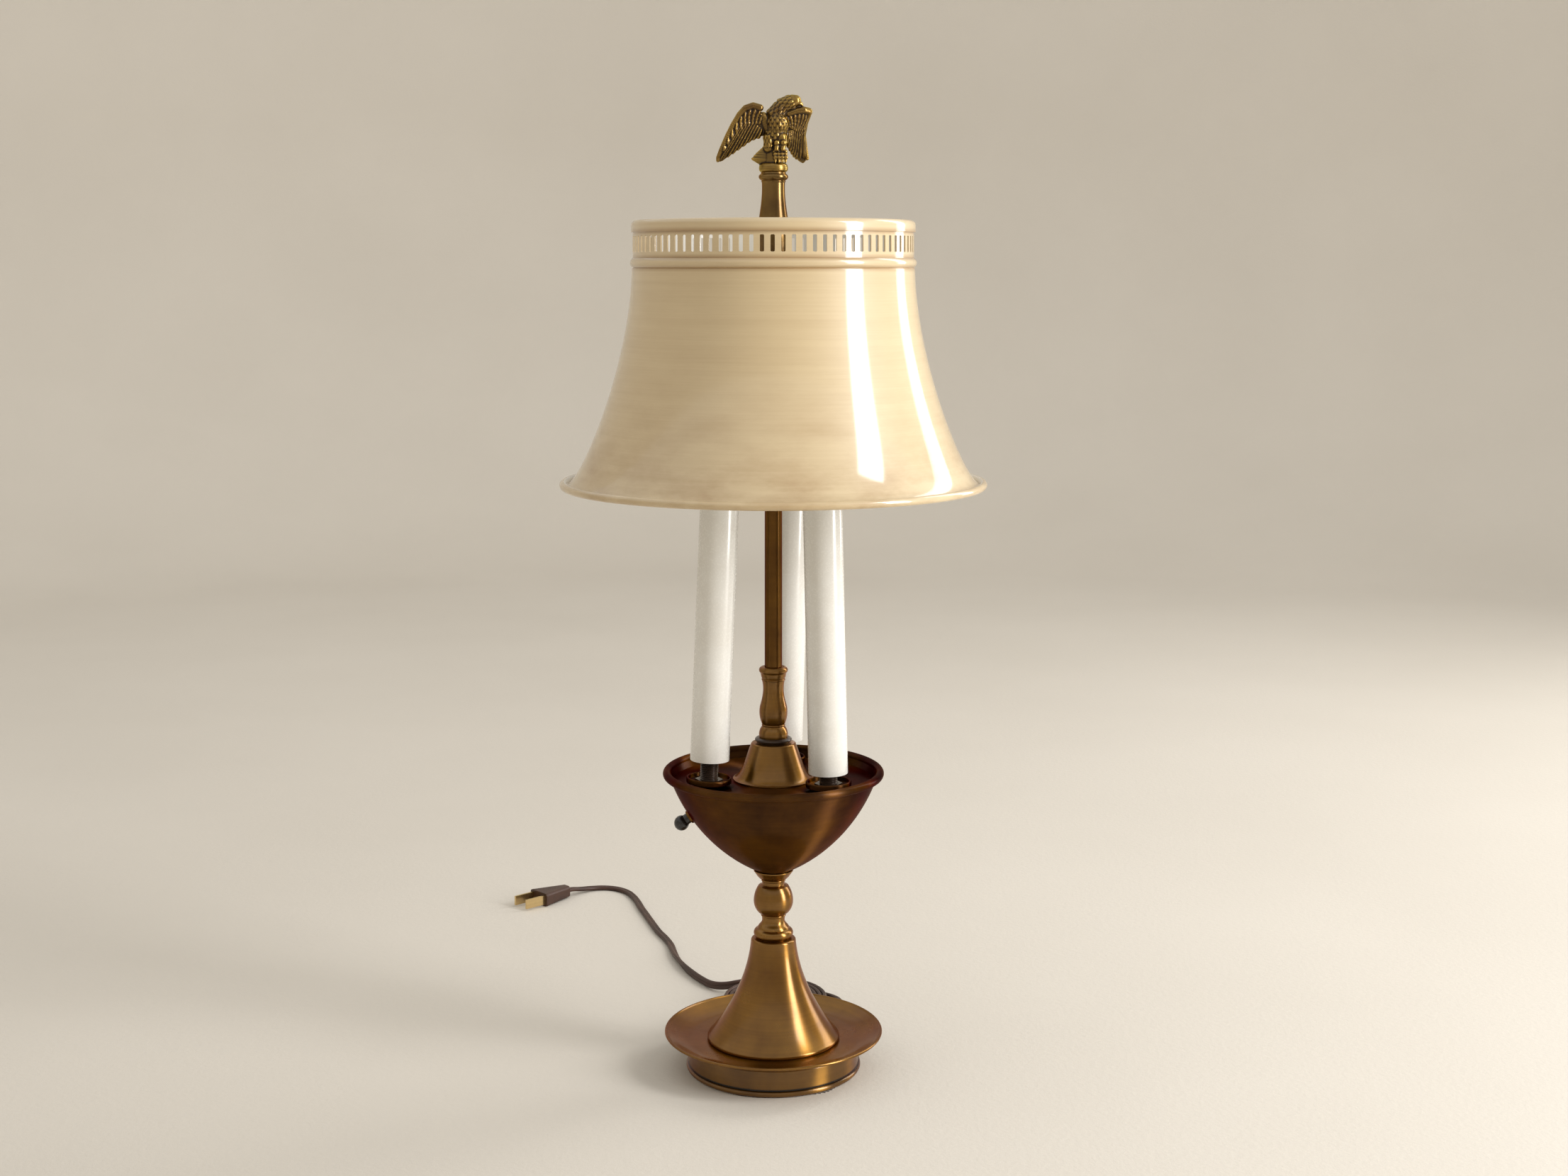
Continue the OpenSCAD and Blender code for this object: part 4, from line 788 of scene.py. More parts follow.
@dataclass
class Foot:
    """Felt, saucer and bell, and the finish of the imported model's base ring."""

    felt_r: float = 44.3
    felt_edge: float = 47.4
    felt_sides: int = 360
    fray_seed: int = 7
    fray: Point2 = (-0.35, 0.25)
    tear: float = 2.6
    tear_az: float = 307.0
    tear_span: float = 10.0
    ring_shaded_crease: float = 3.7
    base_top: float = 15.0
    pipe_hole: float = 5.05
    saucer_r: float = 61.5
    saucer_rise: float = 6.1
    saucer_wall: float = 1.0
    saucer_roll: float = 0.75
    bell_r: float = 37.3
    bell_top: float = 72.5
    bell_top_r: float = 12.7
    bell_wall: float = 1.2
    bell_roll: float = 1.3

    def felt(self) -> Skin:
        """Points and faces of the felt: its edge is frayed under the ring, and torn at the front right."""
        low, high = (c[2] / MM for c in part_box("felt_pad"))
        draw = random.Random(self.fray_seed)
        fray = [draw.uniform(*self.fray) for _ in range(self.felt_sides)]
        rings: list[list[Vector]] = [[], [], [], []]
        for k in range(self.felt_sides):
            a = TURN * k / self.felt_sides
            off = (math.degrees(a) - self.tear_az) / self.tear_span
            torn = self.tear * math.exp(-(off**2)) * (0.7 + 0.3 * math.sin(k * 1.9))
            wave = 0.45 * math.sin(3 * a + 0.6) + 0.3 * math.sin(7 * a + 2.0)
            edge = self.felt_edge + wave + fray[k] + torn
            steps = ((edge, low), (edge - 0.2, low + 0.27), (self.felt_r, low + 0.28), (self.felt_r, high))
            for ring, (r, z) in zip(rings, steps):
                ring.append(Vector((r * math.cos(a), r * math.sin(a), z)))
        return skin(rings)

    def saucer(self) -> list[Point2]:
        """Outline of the saucer, with its rolled edge."""
        z = self.base_top
        r, h = self.saucer_r - self.saucer_roll, z + self.saucer_rise - self.saucer_roll
        under = bezier((46.0, z), (52.0, z), (r - 4, h - 2.2), (r - 0.1, h - 0.72), 24)
        roll = arc((r, h), self.saucer_roll, -80, 150, 14)
        upper = [p for p in beside(under, self.saucer_wall) if p[0] < r - 0.9]
        return [(self.pipe_hole, z), *under, *roll, *reversed(upper), (self.pipe_hole, z + self.saucer_wall)]

    def bell(self) -> list[Point2]:
        """Outline of the bell, from its top down the outside and back up the inside."""
        top, top_r, round_r = self.bell_top, self.bell_top_r, self.bell_roll
        height = top - self.base_top - self.saucer_wall
        roll = arc((self.bell_r - round_r, self.base_top + self.saucer_wall + round_r), round_r, 45, -150, 18)
        start = roll[0]
        waist = (top_r + 2.8, top - height * 0.54)
        side = bezier((top_r, top - round_r), waist, (start[0] - 2.5, start[1] + 2.5), start, 64)
        shoulder = arc((top_r - round_r, top - round_r), round_r, 90, 0, 6)
        inner = reversed(beside(side, -self.bell_wall))
        return [(self.pipe_hole, top), *shoulder, *side[1:-1], *roll, *inner, (self.pipe_hole, top - round_r)]

    def build(self, shop: Workshop) -> None:
        """Builds and dresses the foot."""
        # The groove above the base ring's bead is painted near black as shade.
        ringed = Brass(
            "ring_brass", (0.27, 0.135, 0.024), (0.14, 0.062, 0.012), (0.34, 0.42),
            lacquer=0.8, drawn=1.0, shaded_creases=(self.ring_shaded_crease,),
        )
        tarnished = Brass(
            "tarnished_brass", (0.175, 0.100, 0.036), (0.110, 0.056, 0.024), (0.26, 0.38),
            lacquer=0.25, drawn=0.6,
        )
        shop.dress("base_ring", ringed.material())
        felt = mesh_of("foot_felt", *self.felt())
        finish_mesh(felt, 50)
        shop.place(new_object("foot_felt", felt), Body.STAND, Slot.FELT, "felt_pad")
        saucer = eased(self.saucer(), 0.2)
        body, slot = Body.STAND, Slot.SATIN_BRASS
        shop.turned("foot_saucer", saucer, body, slot, "saucer", finish=tarnished.material())
        shop.turned("foot_bell", self.bell(), body, slot, "bell")


@dataclass
class Stem:
    """The turned ball between bell and bowl, and the cup under the bowl."""

    z: float = 72.5
    height: float = 33.5
    hole: float = 5.05
    ring_r: float = 11.2
    ring_round: float = 2.6
    neck_r: float = 6.4
    ball_r: float = 11.2
    ball_drop: float = 12.5
    upper_r: float = 14.5
    lower_r: float = 9.0
    cup_r: float = 11.2
    cup_h: float = 5.0

    def ball(self) -> list[Point2]:
        """Outline of the turned stem."""
        z, top, neck = self.z, self.z + self.height, self.neck_r
        ring_z = z + 0.3 + self.ring_round
        ball_z = top - self.ball_drop
        foot = ball_z + self.lower_r * math.sin(math.radians(-58))
        crown = ball_z + self.upper_r * math.sin(math.radians(36))
        return [
            (self.hole, z),
            (self.ring_r - 2, z),
            *arc((self.ring_r - self.ring_round, ring_z), self.ring_round, -75, 60, 18),
            *bezier(
                (self.ring_r - 2.2, ring_z + 2.6), (self.ring_r - 2.5, ring_z + 4.6),
                (neck + 0.2, ring_z + 5.1), (neck, ring_z + 7.3), 20,
            ),
            *arc((neck + 0.1, foot - 0.5), 0.6, -80, 60, 8),
            *arc((self.ball_r - self.lower_r, ball_z), self.lower_r, -58, 0, 24),
            *arc((self.ball_r - self.upper_r, ball_z), self.upper_r, 2, 36, 20),
            (neck + 0.8, crown + 0.3),
            (neck, crown + 0.8),
            *arc((neck - 0.1, top - 0.7), 0.7, -75, 85, 8),
            (self.hole, top),
        ]

    def cup(self) -> list[Point2]:
        """Outline of the cup under the bowl."""
        low, top = self.z + self.height, self.z + self.height + self.cup_h
        foot, r = self.cup_r - 3.6, self.cup_r
        rise, lip = (foot + 1.3, low + 1.0), (r - 1.3, top - 2.4)
        side = bezier((foot, low + 0.1), rise, lip, (r - 0.15, top - 0.7), 16)
        return [(self.hole, low), (foot - 0.1, low), *side, (r, top - 0.7), (r, top), (self.hole, top)]

    def build(self, shop: Workshop) -> None:
        """Builds and dresses the stem."""
        shop.turned("stem_turning", eased(self.ball(), 0.15), Body.STAND, Slot.SATIN_BRASS, "stem_ball")
        shop.turned("stem_cup", eased(self.cup(), 0.15), Body.STAND, Slot.SATIN_BRASS, "bowl_cup")


@dataclass
class Neck:
    """The spun cone on the bowl's plate, the dark ring and the vase."""

    plate: float = 162.0
    cone_top: float = 183.0
    cone_wall: float = 1.0
    ring_h: float = 3.0
    vase_top: float = 226.0
    socket_r: float = 5.0
    socket_depth: float = 22.0
    hole: float = 5.05

    def cone(self) -> list[Point2]:
        """Outline of the cone, from its top down the outside and back up the inside."""
        top, wall, foot = self.cone_top, self.cone_wall, self.plate + self.cone_wall
        side = bezier((12.8, top - wall), (16.3, top - 10.3), (19.1, foot), (22.9, foot), 40)
        shoulder = arc((12.8 - wall, top - wall), wall, 90, 0, 6)
        inner = reversed(beside(side, -wall))
        return [(self.hole, top), *shoulder, *side[1:], *inner, (self.hole, top - wall)]

    def ring(self) -> list[Point2]:
        """Outline of the dark ring."""
        z, top = self.cone_top, self.cone_top + self.ring_h
        bead = arc((9.6, z + 1.8), 0.9, -90, 90, 12)
        return [(self.hole, z), (9.2, z), *bead, (9.2, top), (self.hole, top)]

    def vase(self) -> list[Point2]:
        """Outline of the vase, with the rod's socket in its top."""
        z, top = self.cone_top + self.ring_h, self.vase_top
        return [
            (self.hole, z),
            *bezier((8, z), (8.6, z + 2), (8, z + 4.6), (6.4, z + 6.4), 14),
            *arc((6.2, z + 7), 0.5, -60, 60, 6),
            *bezier((6.6, z + 7.8), (7.8, z + 10.4), (8.6, z + 14.5), (7.4, top - 21.4), 24),
            *bezier((7.4, top - 21.4), (6.2, top - 17.3), (5.2, top - 12.5), (6.5, top - 7.8), 24)[1:],
            *arc((6.3, top - 7.3), 0.5, -70, 70, 6),
            *bezier((6.6, top - 6.6), (7.0, top - 5.6), (7.2, top - 4.6), (7.3, top - 3.8), 5),
            *arc((6.3, top - 2.0), 1.9, -50, 110, 14),
            (self.socket_r, top - 0.2),
            (self.socket_r, top - self.socket_depth),
            (self.hole, top - self.socket_depth),
        ]

    def build(self, shop: Workshop) -> None:
        """Builds and dresses the neck."""
        shop.turned("neck_cone", eased(self.cone(), 0.15), Body.STAND, Slot.SATIN_BRASS, "cone")
        shop.turned("neck_ring", self.ring(), Body.STAND, Slot.BROWN_METAL, "cone_ring")
        shop.turned("neck_turning", self.vase(), Body.STAND, Slot.SATIN_BRASS, "neck_vase")


@dataclass(frozen=True)
class Candle:
    """How one candle stands.

    Attributes:
        azimuth: where on the bowl's plate it stands, in degrees.
        lean: how far it leans towards +X, in degrees.
        lift: how high its sleeve starts above the plate.
    """

    azimuth: float
    lean: float
    lift: float


@dataclass
class Candles:
    """Three sleeves on leaning nipples, with their drip dishes."""

    ring_r: float = 39.0
    plate: float = 162.0
    cover_r: float = 11.0
    wall: float = 0.8
    length: float = 152.4
    lip_r: float = 8.0
    lip: float = 1.2
    dish_r: float = 12.7
    dish_rim: float = 4.35
    dish_hole: float = 5.15
    nipple_r: float = 5.05
    nipple_bore: float = 3.3
    nipple_low: float = -5.0
    nipple_high: float = 27.0
    thread_pitch: float = 0.94
    thread_depth: float = 0.4
    stands: dict[str, Candle] = field(
        default_factory=lambda: {
            "left": Candle(202, 2.2, 14.5), "right": Candle(322, -1.2, 9.3), "back": Candle(82, 1.7, 14.1)
        }
    )

    def stand(self, candle: Candle) -> Matrix:
        """Where a candle's own frame stands, in metres."""
        a = math.radians(candle.azimuth)
        foot = Vector((self.ring_r * math.cos(a), self.ring_r * math.sin(a), self.plate)) * MM
        return Matrix.Translation(foot) @ Matrix.Rotation(math.radians(candle.lean), 4, "Y")

    def cover(self, low: float) -> list[Point2]:
        """Outline of a sleeve whose lower end is that high."""
        top, inner = low + self.length, self.cover_r - self.wall
        return [
            (inner, low),
            (self.cover_r, low),
            *arc((self.cover_r - 0.7, top - 0.7), 0.7, 0, 90, 6),
            (self.lip_r, top),
            (self.lip_r, top - self.lip),
            (inner, top - self.lip),
        ]

    def dish(self) -> list[Point2]:
        """Outline of a drip dish, which stands clear of the plate where it leans."""
        lift = 8.0 * math.sin(math.radians(2.2)) + 0.05
        rim = arc((self.dish_r - 0.65, self.dish_rim), 0.65, 20, 160, 7)
        side = bezier((7.4, lift), (9.4, lift + 0.1), (10.5, lift + 1), (11.9, lift + 1.75), 10)
        band = [(12.5, lift + 1.5), (self.dish_r, lift + 1.95), (self.dish_r, self.dish_rim), *rim]
        inner = [(11.4, lift + 2.4), *reversed(beside(side, self.wall)[:-1])]
        return [(self.dish_hole, lift), *side, *band, *inner, (self.dish_hole, lift + self.wall)]

    def nipple(self) -> list[Point2]:
        """Outline of a threaded nipple: crests and roots up its outside, and its bore."""
        count = round((self.nipple_high - self.nipple_low) / self.thread_pitch)
        pitch = (self.nipple_high - self.nipple_low) / count
        root = self.nipple_r - self.thread_depth
        outside = [(root, self.nipple_low)]
        for i in range(count):
            z = self.nipple_low + i * pitch
            crest = ((self.nipple_r, z + pitch * share) for share in (0.42, 0.58))
            outside += [*crest, (root, z + pitch)]
        return [(self.nipple_bore, self.nipple_low), *outside, (self.nipple_bore, self.nipple_high)]

    def build(self, shop: Workshop) -> None:
        """Builds and dresses the candles."""
        dish = eased(self.dish(), 0.15)
        for name, candle in self.stands.items():
            stand = self.stand(candle)
            cover = eased(self.cover(candle.lift), 0.25)
            for kind, outline, body, slot, node in (
                ("candle_sleeve", cover, Body(f"cover_{name}"), Slot.CANDLE_WHITE, "candle_cover"),
                ("drip_dish", dish, Body.STAND, Slot.DARK_BRASS, "bobeche"),
                ("threaded_nipple", self.nipple(), Body.STAND, Slot.BROWN_METAL, "candle_nipple"),
            ):
                piece, replaced = f"{kind}_{name}", f"{node}_{name}"
                shop.turned(piece, outline, body, slot, replaced, sides=96, frame_of=stand)


@dataclass
class Shade:
    """The flared metal shade with its pierced gallery."""

    hub: float = 453.5
    top_r: float = 80.2
    rim_r: float = 118.6
    rim_bead: float = 2.2
    height: float = 121.6
    wall: float = 0.8
    bead_r: float = 2.8
    bulge: float = 1.5
    strip_h: float = 14.4
    cap_h: float = 7.0
    cap_roll: float = 3.0
    slots: int = 88
    slot_z: float = 3.2
    slot_w: float = 2.3
    slot_h: float = 9.1
    sides: int = 256

    @property
    def bead_z(self) -> float:
        """Height of the middle of the top bead."""
        return self.hub + 1.1

    @property
    def strip_r(self) -> float:
        """Outer radius of the gallery's strip."""
        return self.top_r - 0.5

    @property
    def strip_z(self) -> float:
        """Height of the strip's lower edge."""
        return self.bead_z + self.bead_r

    def wall_outline(self) -> list[Point2]:
        """Outline of the wall, from its top down the outside, round the rolled edge and up the inside."""
        top = self.bead_z - self.bead_r - 0.3
        rim = top - self.height
        swell = (self.bead_r**2 + self.bulge**2) / (2 * self.bulge)
        half = math.degrees(math.asin(self.bead_r / swell))
        flare = (self.top_r + 0.9, top - self.height * 0.446)
        foot = (self.rim_r - self.rim_bead, rim + 0.2)
        side = [
            (self.strip_r - self.wall, self.strip_z),
            *arc((self.strip_r + self.bulge - swell, self.bead_z), swell, half, -half, 20),
            *bezier((self.top_r, top), flare, (self.rim_r - 10, rim + 2.4), foot, 96),
        ]
        roll = arc((self.rim_r, rim), self.rim_bead, 173, -160, 30)
        return [*side, *roll, *reversed(beside(side, -self.wall))]

    def cap_outline(self) -> list[Point2]:
        """Outline of the rolled cap on the strip."""
        wall, roll = self.wall, self.cap_roll
        r, z, top = self.strip_r + 0.9, self.strip_z + self.strip_h, self.strip_z + self.strip_h + self.cap_h
        middle, lip, inner = (r - roll, top - roll), r - 4.6, self.strip_r - wall
        return [
            (self.strip_r, z), (r, z), *arc(middle, roll, 0, 90, 12), (lip, top),
            (lip, top - wall), *arc(middle, roll - wall, 90, 0, 10), (r - wall, z + wall),
            (inner, z + wall), (inner, z),
        ]

    def slot_unit(self) -> Mesh:
        """One slot with the metal round it, as a piece of the strip's curved wall."""
        half = self.slot_w / 2 / self.strip_r
        low, high = self.strip_z, self.strip_z + self.strip_h
        z0, z1, ease_z = low + self.slot_z, low + self.slot_z + self.slot_h, 0.4
        wide, narrow = (math.pi / self.slots, 0.0, low, high), (half, half * 0.35, z0, z1)
        edge, hole = (
            [
                (-a, z0 + ease_z), (ease - a, bottom), (a - ease, bottom), (a, z0 + ease_z),
                (a, z1 - ease_z), (a - ease, top), (ease - a, top), (-a, z1 - ease_z),
            ]
            for a, ease, bottom, top in (wide, narrow)
        )
        outer, inner = self.strip_r, self.strip_r - self.wall
        rings = [
            [(radius * math.cos(a), radius * math.sin(a), z) for a, z in loop]
            for loop, radius in ((edge, outer), (hole, outer), (hole, inner), (edge, inner))
        ]
        points, faces = skin(rings, capped=False)
        last = len(points) - len(edge)
        faces += [[last + k, last + k + 1, k + 1, k] for k in (1, 5)]
        return mesh_of("slot_unit", points, faces)

    def build(self, shop: Workshop) -> None:
        """Builds and dresses the shade."""
        body, slot = Body.SHADE, Slot.SHADE_ENAMEL
        wall = eased(self.wall_outline(), 0.25)
        shop.turned("shade_wall", wall, body, slot, "shade_body", sides=self.sides)
        strip = shop.ring.run("gallery_strip", self.slot_unit(), self.slots, shop.finish[slot])
        shop.place(new_object("gallery_strip", strip), body, slot, "shade_gallery")
        shop.turned("gallery_cap", eased(self.cap_outline(), 0.2), body, slot, sides=self.sides)


@dataclass
class Finial:
    """The turned neck that screws down on the shade, under the cast eagle."""

    z: float = 455.2
    rock: float = 506.0
    foot_r: float = 9.5
    waist_r: float = 6.6
    bore_r: float = 5.0
    bore_top: float = 471.8

    def neck(self) -> list[Point2]:
        """Open outline of the neck, from the axis at the top of its bore to the axis at its own top."""
        z, top, foot, waist = self.z, self.rock, self.foot_r, self.waist_r
        return [
            (0, self.bore_top),
            (self.bore_r, self.bore_top),
            (self.bore_r, z),
            (foot - 0.5, z),
            (foot, z + 0.5),
            *bezier(
                (foot, z + 6.8), (foot + 0.7, z + 20.8), (waist - 0.6, top - 20), (waist, top - 5.9), 60
            ),
            *arc((waist - 0.1, top - 5.2), 0.45, -60, 60, 6),
            *arc((waist, top - 2.6), 1.8, -70, 70, 18),
            (waist + 0.4, top),
            (0, top),
        ]

    def build(self, shop: Workshop) -> None:
        """Builds and dresses the finial's neck."""
        outline = eased(self.neck(), 0.12, closed=False)
        shop.turned("finial_turning", outline, Body.FINIAL, Slot.FINIAL_BRASS, "finial_neck", closed=False)


@dataclass
class Eagle:
    """The cast eagle on its rock: limbs and feathers, melted into one casting, with recesses darkened partly
    as patina and partly as painted shade.

    Its points count from the middle of the rock's foot. A wing is a row of stations, each a point of either
    edge and the radius of the leading edge.
    """

    foot: float = 506.0
    voxel: float = 0.29
    depth_rounds: int = 14
    depth_span: float = 0.5
    primaries: int = 9
    coverts: int = 9
    covert_rows: int = 4
    belly: Point3 = (0.9, 0.0, 21.5)
    belly_r: float = 6.4
    breast: Point3 = (2.2, -1.4, 27.6)
    breast_r: float = 6.5
    shoulder: Point3 = (0.9, -0.9, 31.6)
    shoulder_r: float = 5.3
    nape: Point3 = (5.0, -1.0, 37.2)
    nape_r: float = 4.5
    crown: Point3 = (10.7, -1.2, 40.0)
    crown_r: float = 4.1
    beak: Point3 = (16.8, -1.3, 38.3)
    left_wing: Wing = (
        ((-7.6, -5.2, 36.2), (-3.6, -1.6, 19.6), 2.1), ((-11.4, -6.0, 37.3), (-7.0, -2.0, 19.1), 2.0),
        ((-15.6, -5.8, 36.0), (-10.4, -1.6, 18.6), 1.9), ((-19.0, -5.2, 32.4), (-14.0, -1.0, 16.9), 1.8),
        ((-22.6, -4.2, 26.8), (-17.8, -0.6, 14.0), 1.65), ((-26.0, -3.2, 20.4), (-21.8, -0.2, 11.2), 1.5),
        ((-29.1, -2.0, 13.6), (-25.4, 0.2, 8.6), 1.4), ((-31.3, -1.0, 8.4), (-28.6, 0.4, 6.4), 1.2),
        ((-31.5, -0.8, 6.6), (-30.0, 0.2, 6.0), 1.0),
    )
    right_wing: Wing = (
        ((8.6, -2.6, 33.0), (4.8, 0.6, 21.0), 1.6), ((13.4, -2.2, 34.6), (6.6, 2.2, 17.6), 1.8),
        ((17.4, -1.0, 35.2), (8.1, 3.8, 14.1), 2.1), ((20.0, 1.2, 34.6), (9.4, 6.2, 11.8), 2.2),
        ((18.2, 4.2, 28.2), (10.8, 9.0, 9.6), 1.6), ((17.2, 7.4, 21.6), (12.4, 11.6, 7.8), 1.4),
        ((18.2, 10.8, 14.8), (14.2, 14.0, 6.4), 1.3), ((19.2, 13.2, 8.6), (16.6, 15.2, 5.6), 1.2),
    )
    rock_heart: Point3 = (0.3, 0.4, 5.2)
    rock_ridges: int = 6
    prow: tuple[Point3, Point3] = ((-11.7, -1.0, 7.6), (-5.4, -1.6, 14.2))
    claws: int = 4
    feather: tuple[Point2, ...] = (
        (1.0, 0.0), (0.55, -0.75), (-0.55, -0.75), (-1.0, 0.0), (-0.5, 0.55),
        (-0.14, 0.62), (0.0, 1.0), (0.14, 0.62), (0.5, 0.55),
    )

    def __post_init__(self) -> None:
        """Starts with no clay, and keeps a ball to copy."""
        self.points: list[Vector] = []
        self.faces: Faces = []
        bm = bmesh.new()
        bmesh.ops.create_icosphere(bm, subdivisions=3, radius=1)
        self.ball_points = [v.co.copy() for v in bm.verts]
        self.ball_faces = [[v.index for v in f.verts] for f in bm.faces]
        bm.free()

    def add(self, points: Sequence[Vector], faces: Faces) -> None:
        """Adds a closed form to the clay."""
        start = len(self.points)
        self.points += points
        self.faces += [[start + k for k in face] for face in faces]

    def ball(self, at: Sequence[float], radius: float) -> None:
        """Adds a ball."""
        self.add([Vector(at) + p * radius for p in self.ball_points], self.ball_faces)

    def limb(self, a: Sequence[float], ra: float, b: Sequence[float], rb: float, turns: int = 10) -> None:
        """Adds balls that run into each other from a to b, with radii that change evenly."""
        for i in range(turns + 1):
            t = i / turns
            self.ball(Vector(a).lerp(Vector(b), t), ra + (rb - ra) * t)

    def leaf(self, a: Vector, b: Vector, out: Vector, half_w: float, half_t: float) -> None:
        """Adds a feather with a round end and a raised quill.

        Args:
            a: its root.
            b: its tip.
            out: the way that its face looks.
            half_w: half its width.
            half_t: half its thickness.
        """
        way = b - a
        side = way.cross(out).normalized()
        out = side.cross(way).normalized()
        rings = []
        steps, tip = 9, 0.72
        for i in range(steps + 1):
            t = i / steps
            swell = math.sin(math.pi * min(0.5, t * 0.55 + 0.18))
            if t >= tip:
                swell *= math.sqrt(max(0.02, 1 - ((t - tip) / 0.29) ** 2))
            w, h = half_w * swell, half_t * swell
            p = a + way * t
            rings.append([p + side * w * x + out * h * y for x, y in self.feather])
        self.add(*skin(rings))

    @staticmethod
    def wing_point(wing: Wing, s: float, c: float) -> Vector:
        """A point s stations from the shoulder and c of the way to the trailing edge."""
        i = min(int(s), len(wing) - 2)
        near, far = wing[i], wing[i + 1]
        lead, trail = (Vector(near[n]).lerp(Vector(far[n]), s - i) for n in (0, 1))
        return lead.lerp(trail, c)

    def wing(self, wing: Wing) -> None:
        """Adds a wing: a rolled leading edge, its web, and rows of feathers on both faces."""
        last = len(wing) - 1
        along, across = Vector(wing[4][0]) - Vector(wing[2][0]), Vector(wing[3][1]) - Vector(wing[3][0])
        face = along.cross(across).normalized()
        web = []
        for i in range(last * 3 + 1):
            s = i / 3
            k = min(int(s), last - 1)
            r = wing[k][2] + (wing[k + 1][2] - wing[k][2]) * (s - k)
            lead, trail = self.wing_point(wing, s, 0), self.wing_point(wing, s, 0.93)
            mid, edge = lead.lerp(trail, 0.45), face * r * 0.6
            web.append([
                lead + edge, mid + face * 0.8, trail + face * 0.45,
                trail - face * 0.45, mid - face * 0.8, lead - edge,
            ])
        self.add(*skin(web))
        for (a, _, ra), (b, _, rb) in pairwise(wing):
            self.limb(a, ra, b, rb, 6)
        for side in (1, -1):
            for k in range(self.primaries):
                a = self.wing_point(wing, 2.9 - 0.30 * k, 0.30 + 0.05 * k)
                b = self.wing_point(wing, last - 0.35 - 0.76 * k, min(1.0, 0.52 + 0.23 * k))
                self.leaf(a + face * side * 0.55, b + face * side * 0.4, face * side, 1.25, 1.5)
            for row in range(self.covert_rows - 1, -1, -1):
                step = (last - 1.7 - 0.45 * row) / self.coverts
                for k in range(self.coverts):
                    s = 0.12 + step * (k + 0.5 * (row % 2))
                    c = 0.08 + 0.105 * row
                    lift = face * side * (1.15 - 0.17 * row)
                    a = self.wing_point(wing, s, c) + lift
                    b = self.wing_point(wing, s + 0.36, c + 0.17) + lift * 0.8
                    self.leaf(a, b, face * side, 1.0, 1.0)

    def body(self) -> None:
        """Adds the trunk, the thighs, the neck and the head."""
        belly, breast, shoulder = self.belly, self.breast, self.shoulder
        nape, crown, beak = self.nape, self.crown, self.beak
        brow, hook = moved(crown, 1.7, -0.2, 0.5), moved(beak, -0.7, 0, 0.2)
        for a, ra, b, rb in (
            ((0.8, 0.6, 14), 5.2, belly, self.belly_r),
            (belly, self.belly_r, breast, self.breast_r),
            (breast, self.breast_r, shoulder, self.shoulder_r),
            (moved(self.left_wing[0][0], 1.5, 2.8, -5), 3.0, belly, 5.4),
            (moved(self.right_wing[0][0], -1.5, 1.6, -3), 2.6, belly, 5.4),
            ((-2.6, -2.6, 19.5), 3.3, (-2.7, -3.4, 13.5), 2.7),
            ((4.4, -3.2, 19.5), 3.3, (4.2, -4.0, 13.0), 2.4),
            (shoulder, self.shoulder_r, nape, self.nape_r),
            (nape, self.nape_r, crown, self.crown_r),
            (crown, self.crown_r, brow, 3.4),
            (moved(brow, 0.9, 0, -0.8), 2.3, hook, 0.85),
            (hook, 0.85, moved(beak, -0.3, 0, -1.3), 0.38),
            (moved(crown, 1.8, 0, -2.3), 1.7, moved(beak, -1.8, 0, -1.4), 0.6),
        ):
            self.limb(a, ra, b, rb)
        for side in (-1, 1):
            self.limb(moved(brow, -1.8, 2.5 * side, 0.9), 0.75, moved(brow, 1.6, 1.7 * side, 0.2), 0.5)
            self.ball(moved(brow, 0.1, 2.9 * side, -0.3), 0.6)

    def plumage(self) -> None:
        """Adds the feathers of breast, thighs, neck and tail."""
        breast, shoulder, nape = Vector(self.breast), Vector(self.shoulder), Vector(self.nape)
        belly, crown = Vector(self.belly), Vector(self.crown)
        for centre, radius, rows, top in ((belly, self.belly_r, 4, 20), (breast, self.breast_r, 5, 52)):
            for row in range(rows):
                for k in range(-3, 4):
                    az, el = math.radians(25 * k + 12.5 * (row % 2)), math.radians(top - 19 * row)
                    out = Vector((math.cos(el) * math.sin(az), -math.cos(el) * math.cos(az), math.sin(el)))
                    down = (Vector((0, 0, -1)) + out * out.z).normalized()
                    p = centre + out * (radius - 0.1)
                    self.leaf(p - down * 1.5, p + down * 1.7, out, 1.35, 0.75)
        throat = (shoulder, nape, self.shoulder_r, self.nape_r)
        scruff = (nape, crown, self.nape_r, self.crown_r)
        for start, end, ra, rb in (throat, scruff):
            way = (end - start).normalized()
            over = Vector((-way.z, 0, way.x)).normalized()
            for row in range(3):
                t = 0.05 + 0.36 * row
                base, r = start.lerp(end, t), ra + (rb - ra) * t
                for k in range(12):
                    a = math.radians(30 * k + 15 * (row % 2))
                    out = Vector((0, -math.cos(a), 0)) + over * math.sin(a)
                    p = base + out * (r - 0.05)
                    self.leaf(p + way * 1.6, p - way * 1.5 + out * 0.15, out, 1.05, 0.6)
        for x in (-2.65, 4.3):
            for row in range(3):
                for k in range(-2, 3):
                    a = math.radians(32 * k + 16 * (row % 2))
                    out = Vector((math.sin(a), -math.cos(a), 0.1)).normalized()
                    p = Vector((x, -2.9 - 0.25 * row, 19.2 - 2.1 * row)) + out * (3.25 - 0.15 * row)
                    self.leaf(moved(p, 0, 0, 1.3), moved(p, 0, 0, -1.5), out, 0.95, 0.5)
        for k in range(-2, 3):
            root = Vector((0.6 + 0.8 * k, 4.3, 20.0))
            tip = Vector((0.6 + 2.6 * k, 10.4, 6.6 + 0.4 * k * k))
            self.leaf(root, tip, Vector((0, 0.9, 0.45)), 1.75, 1.3)

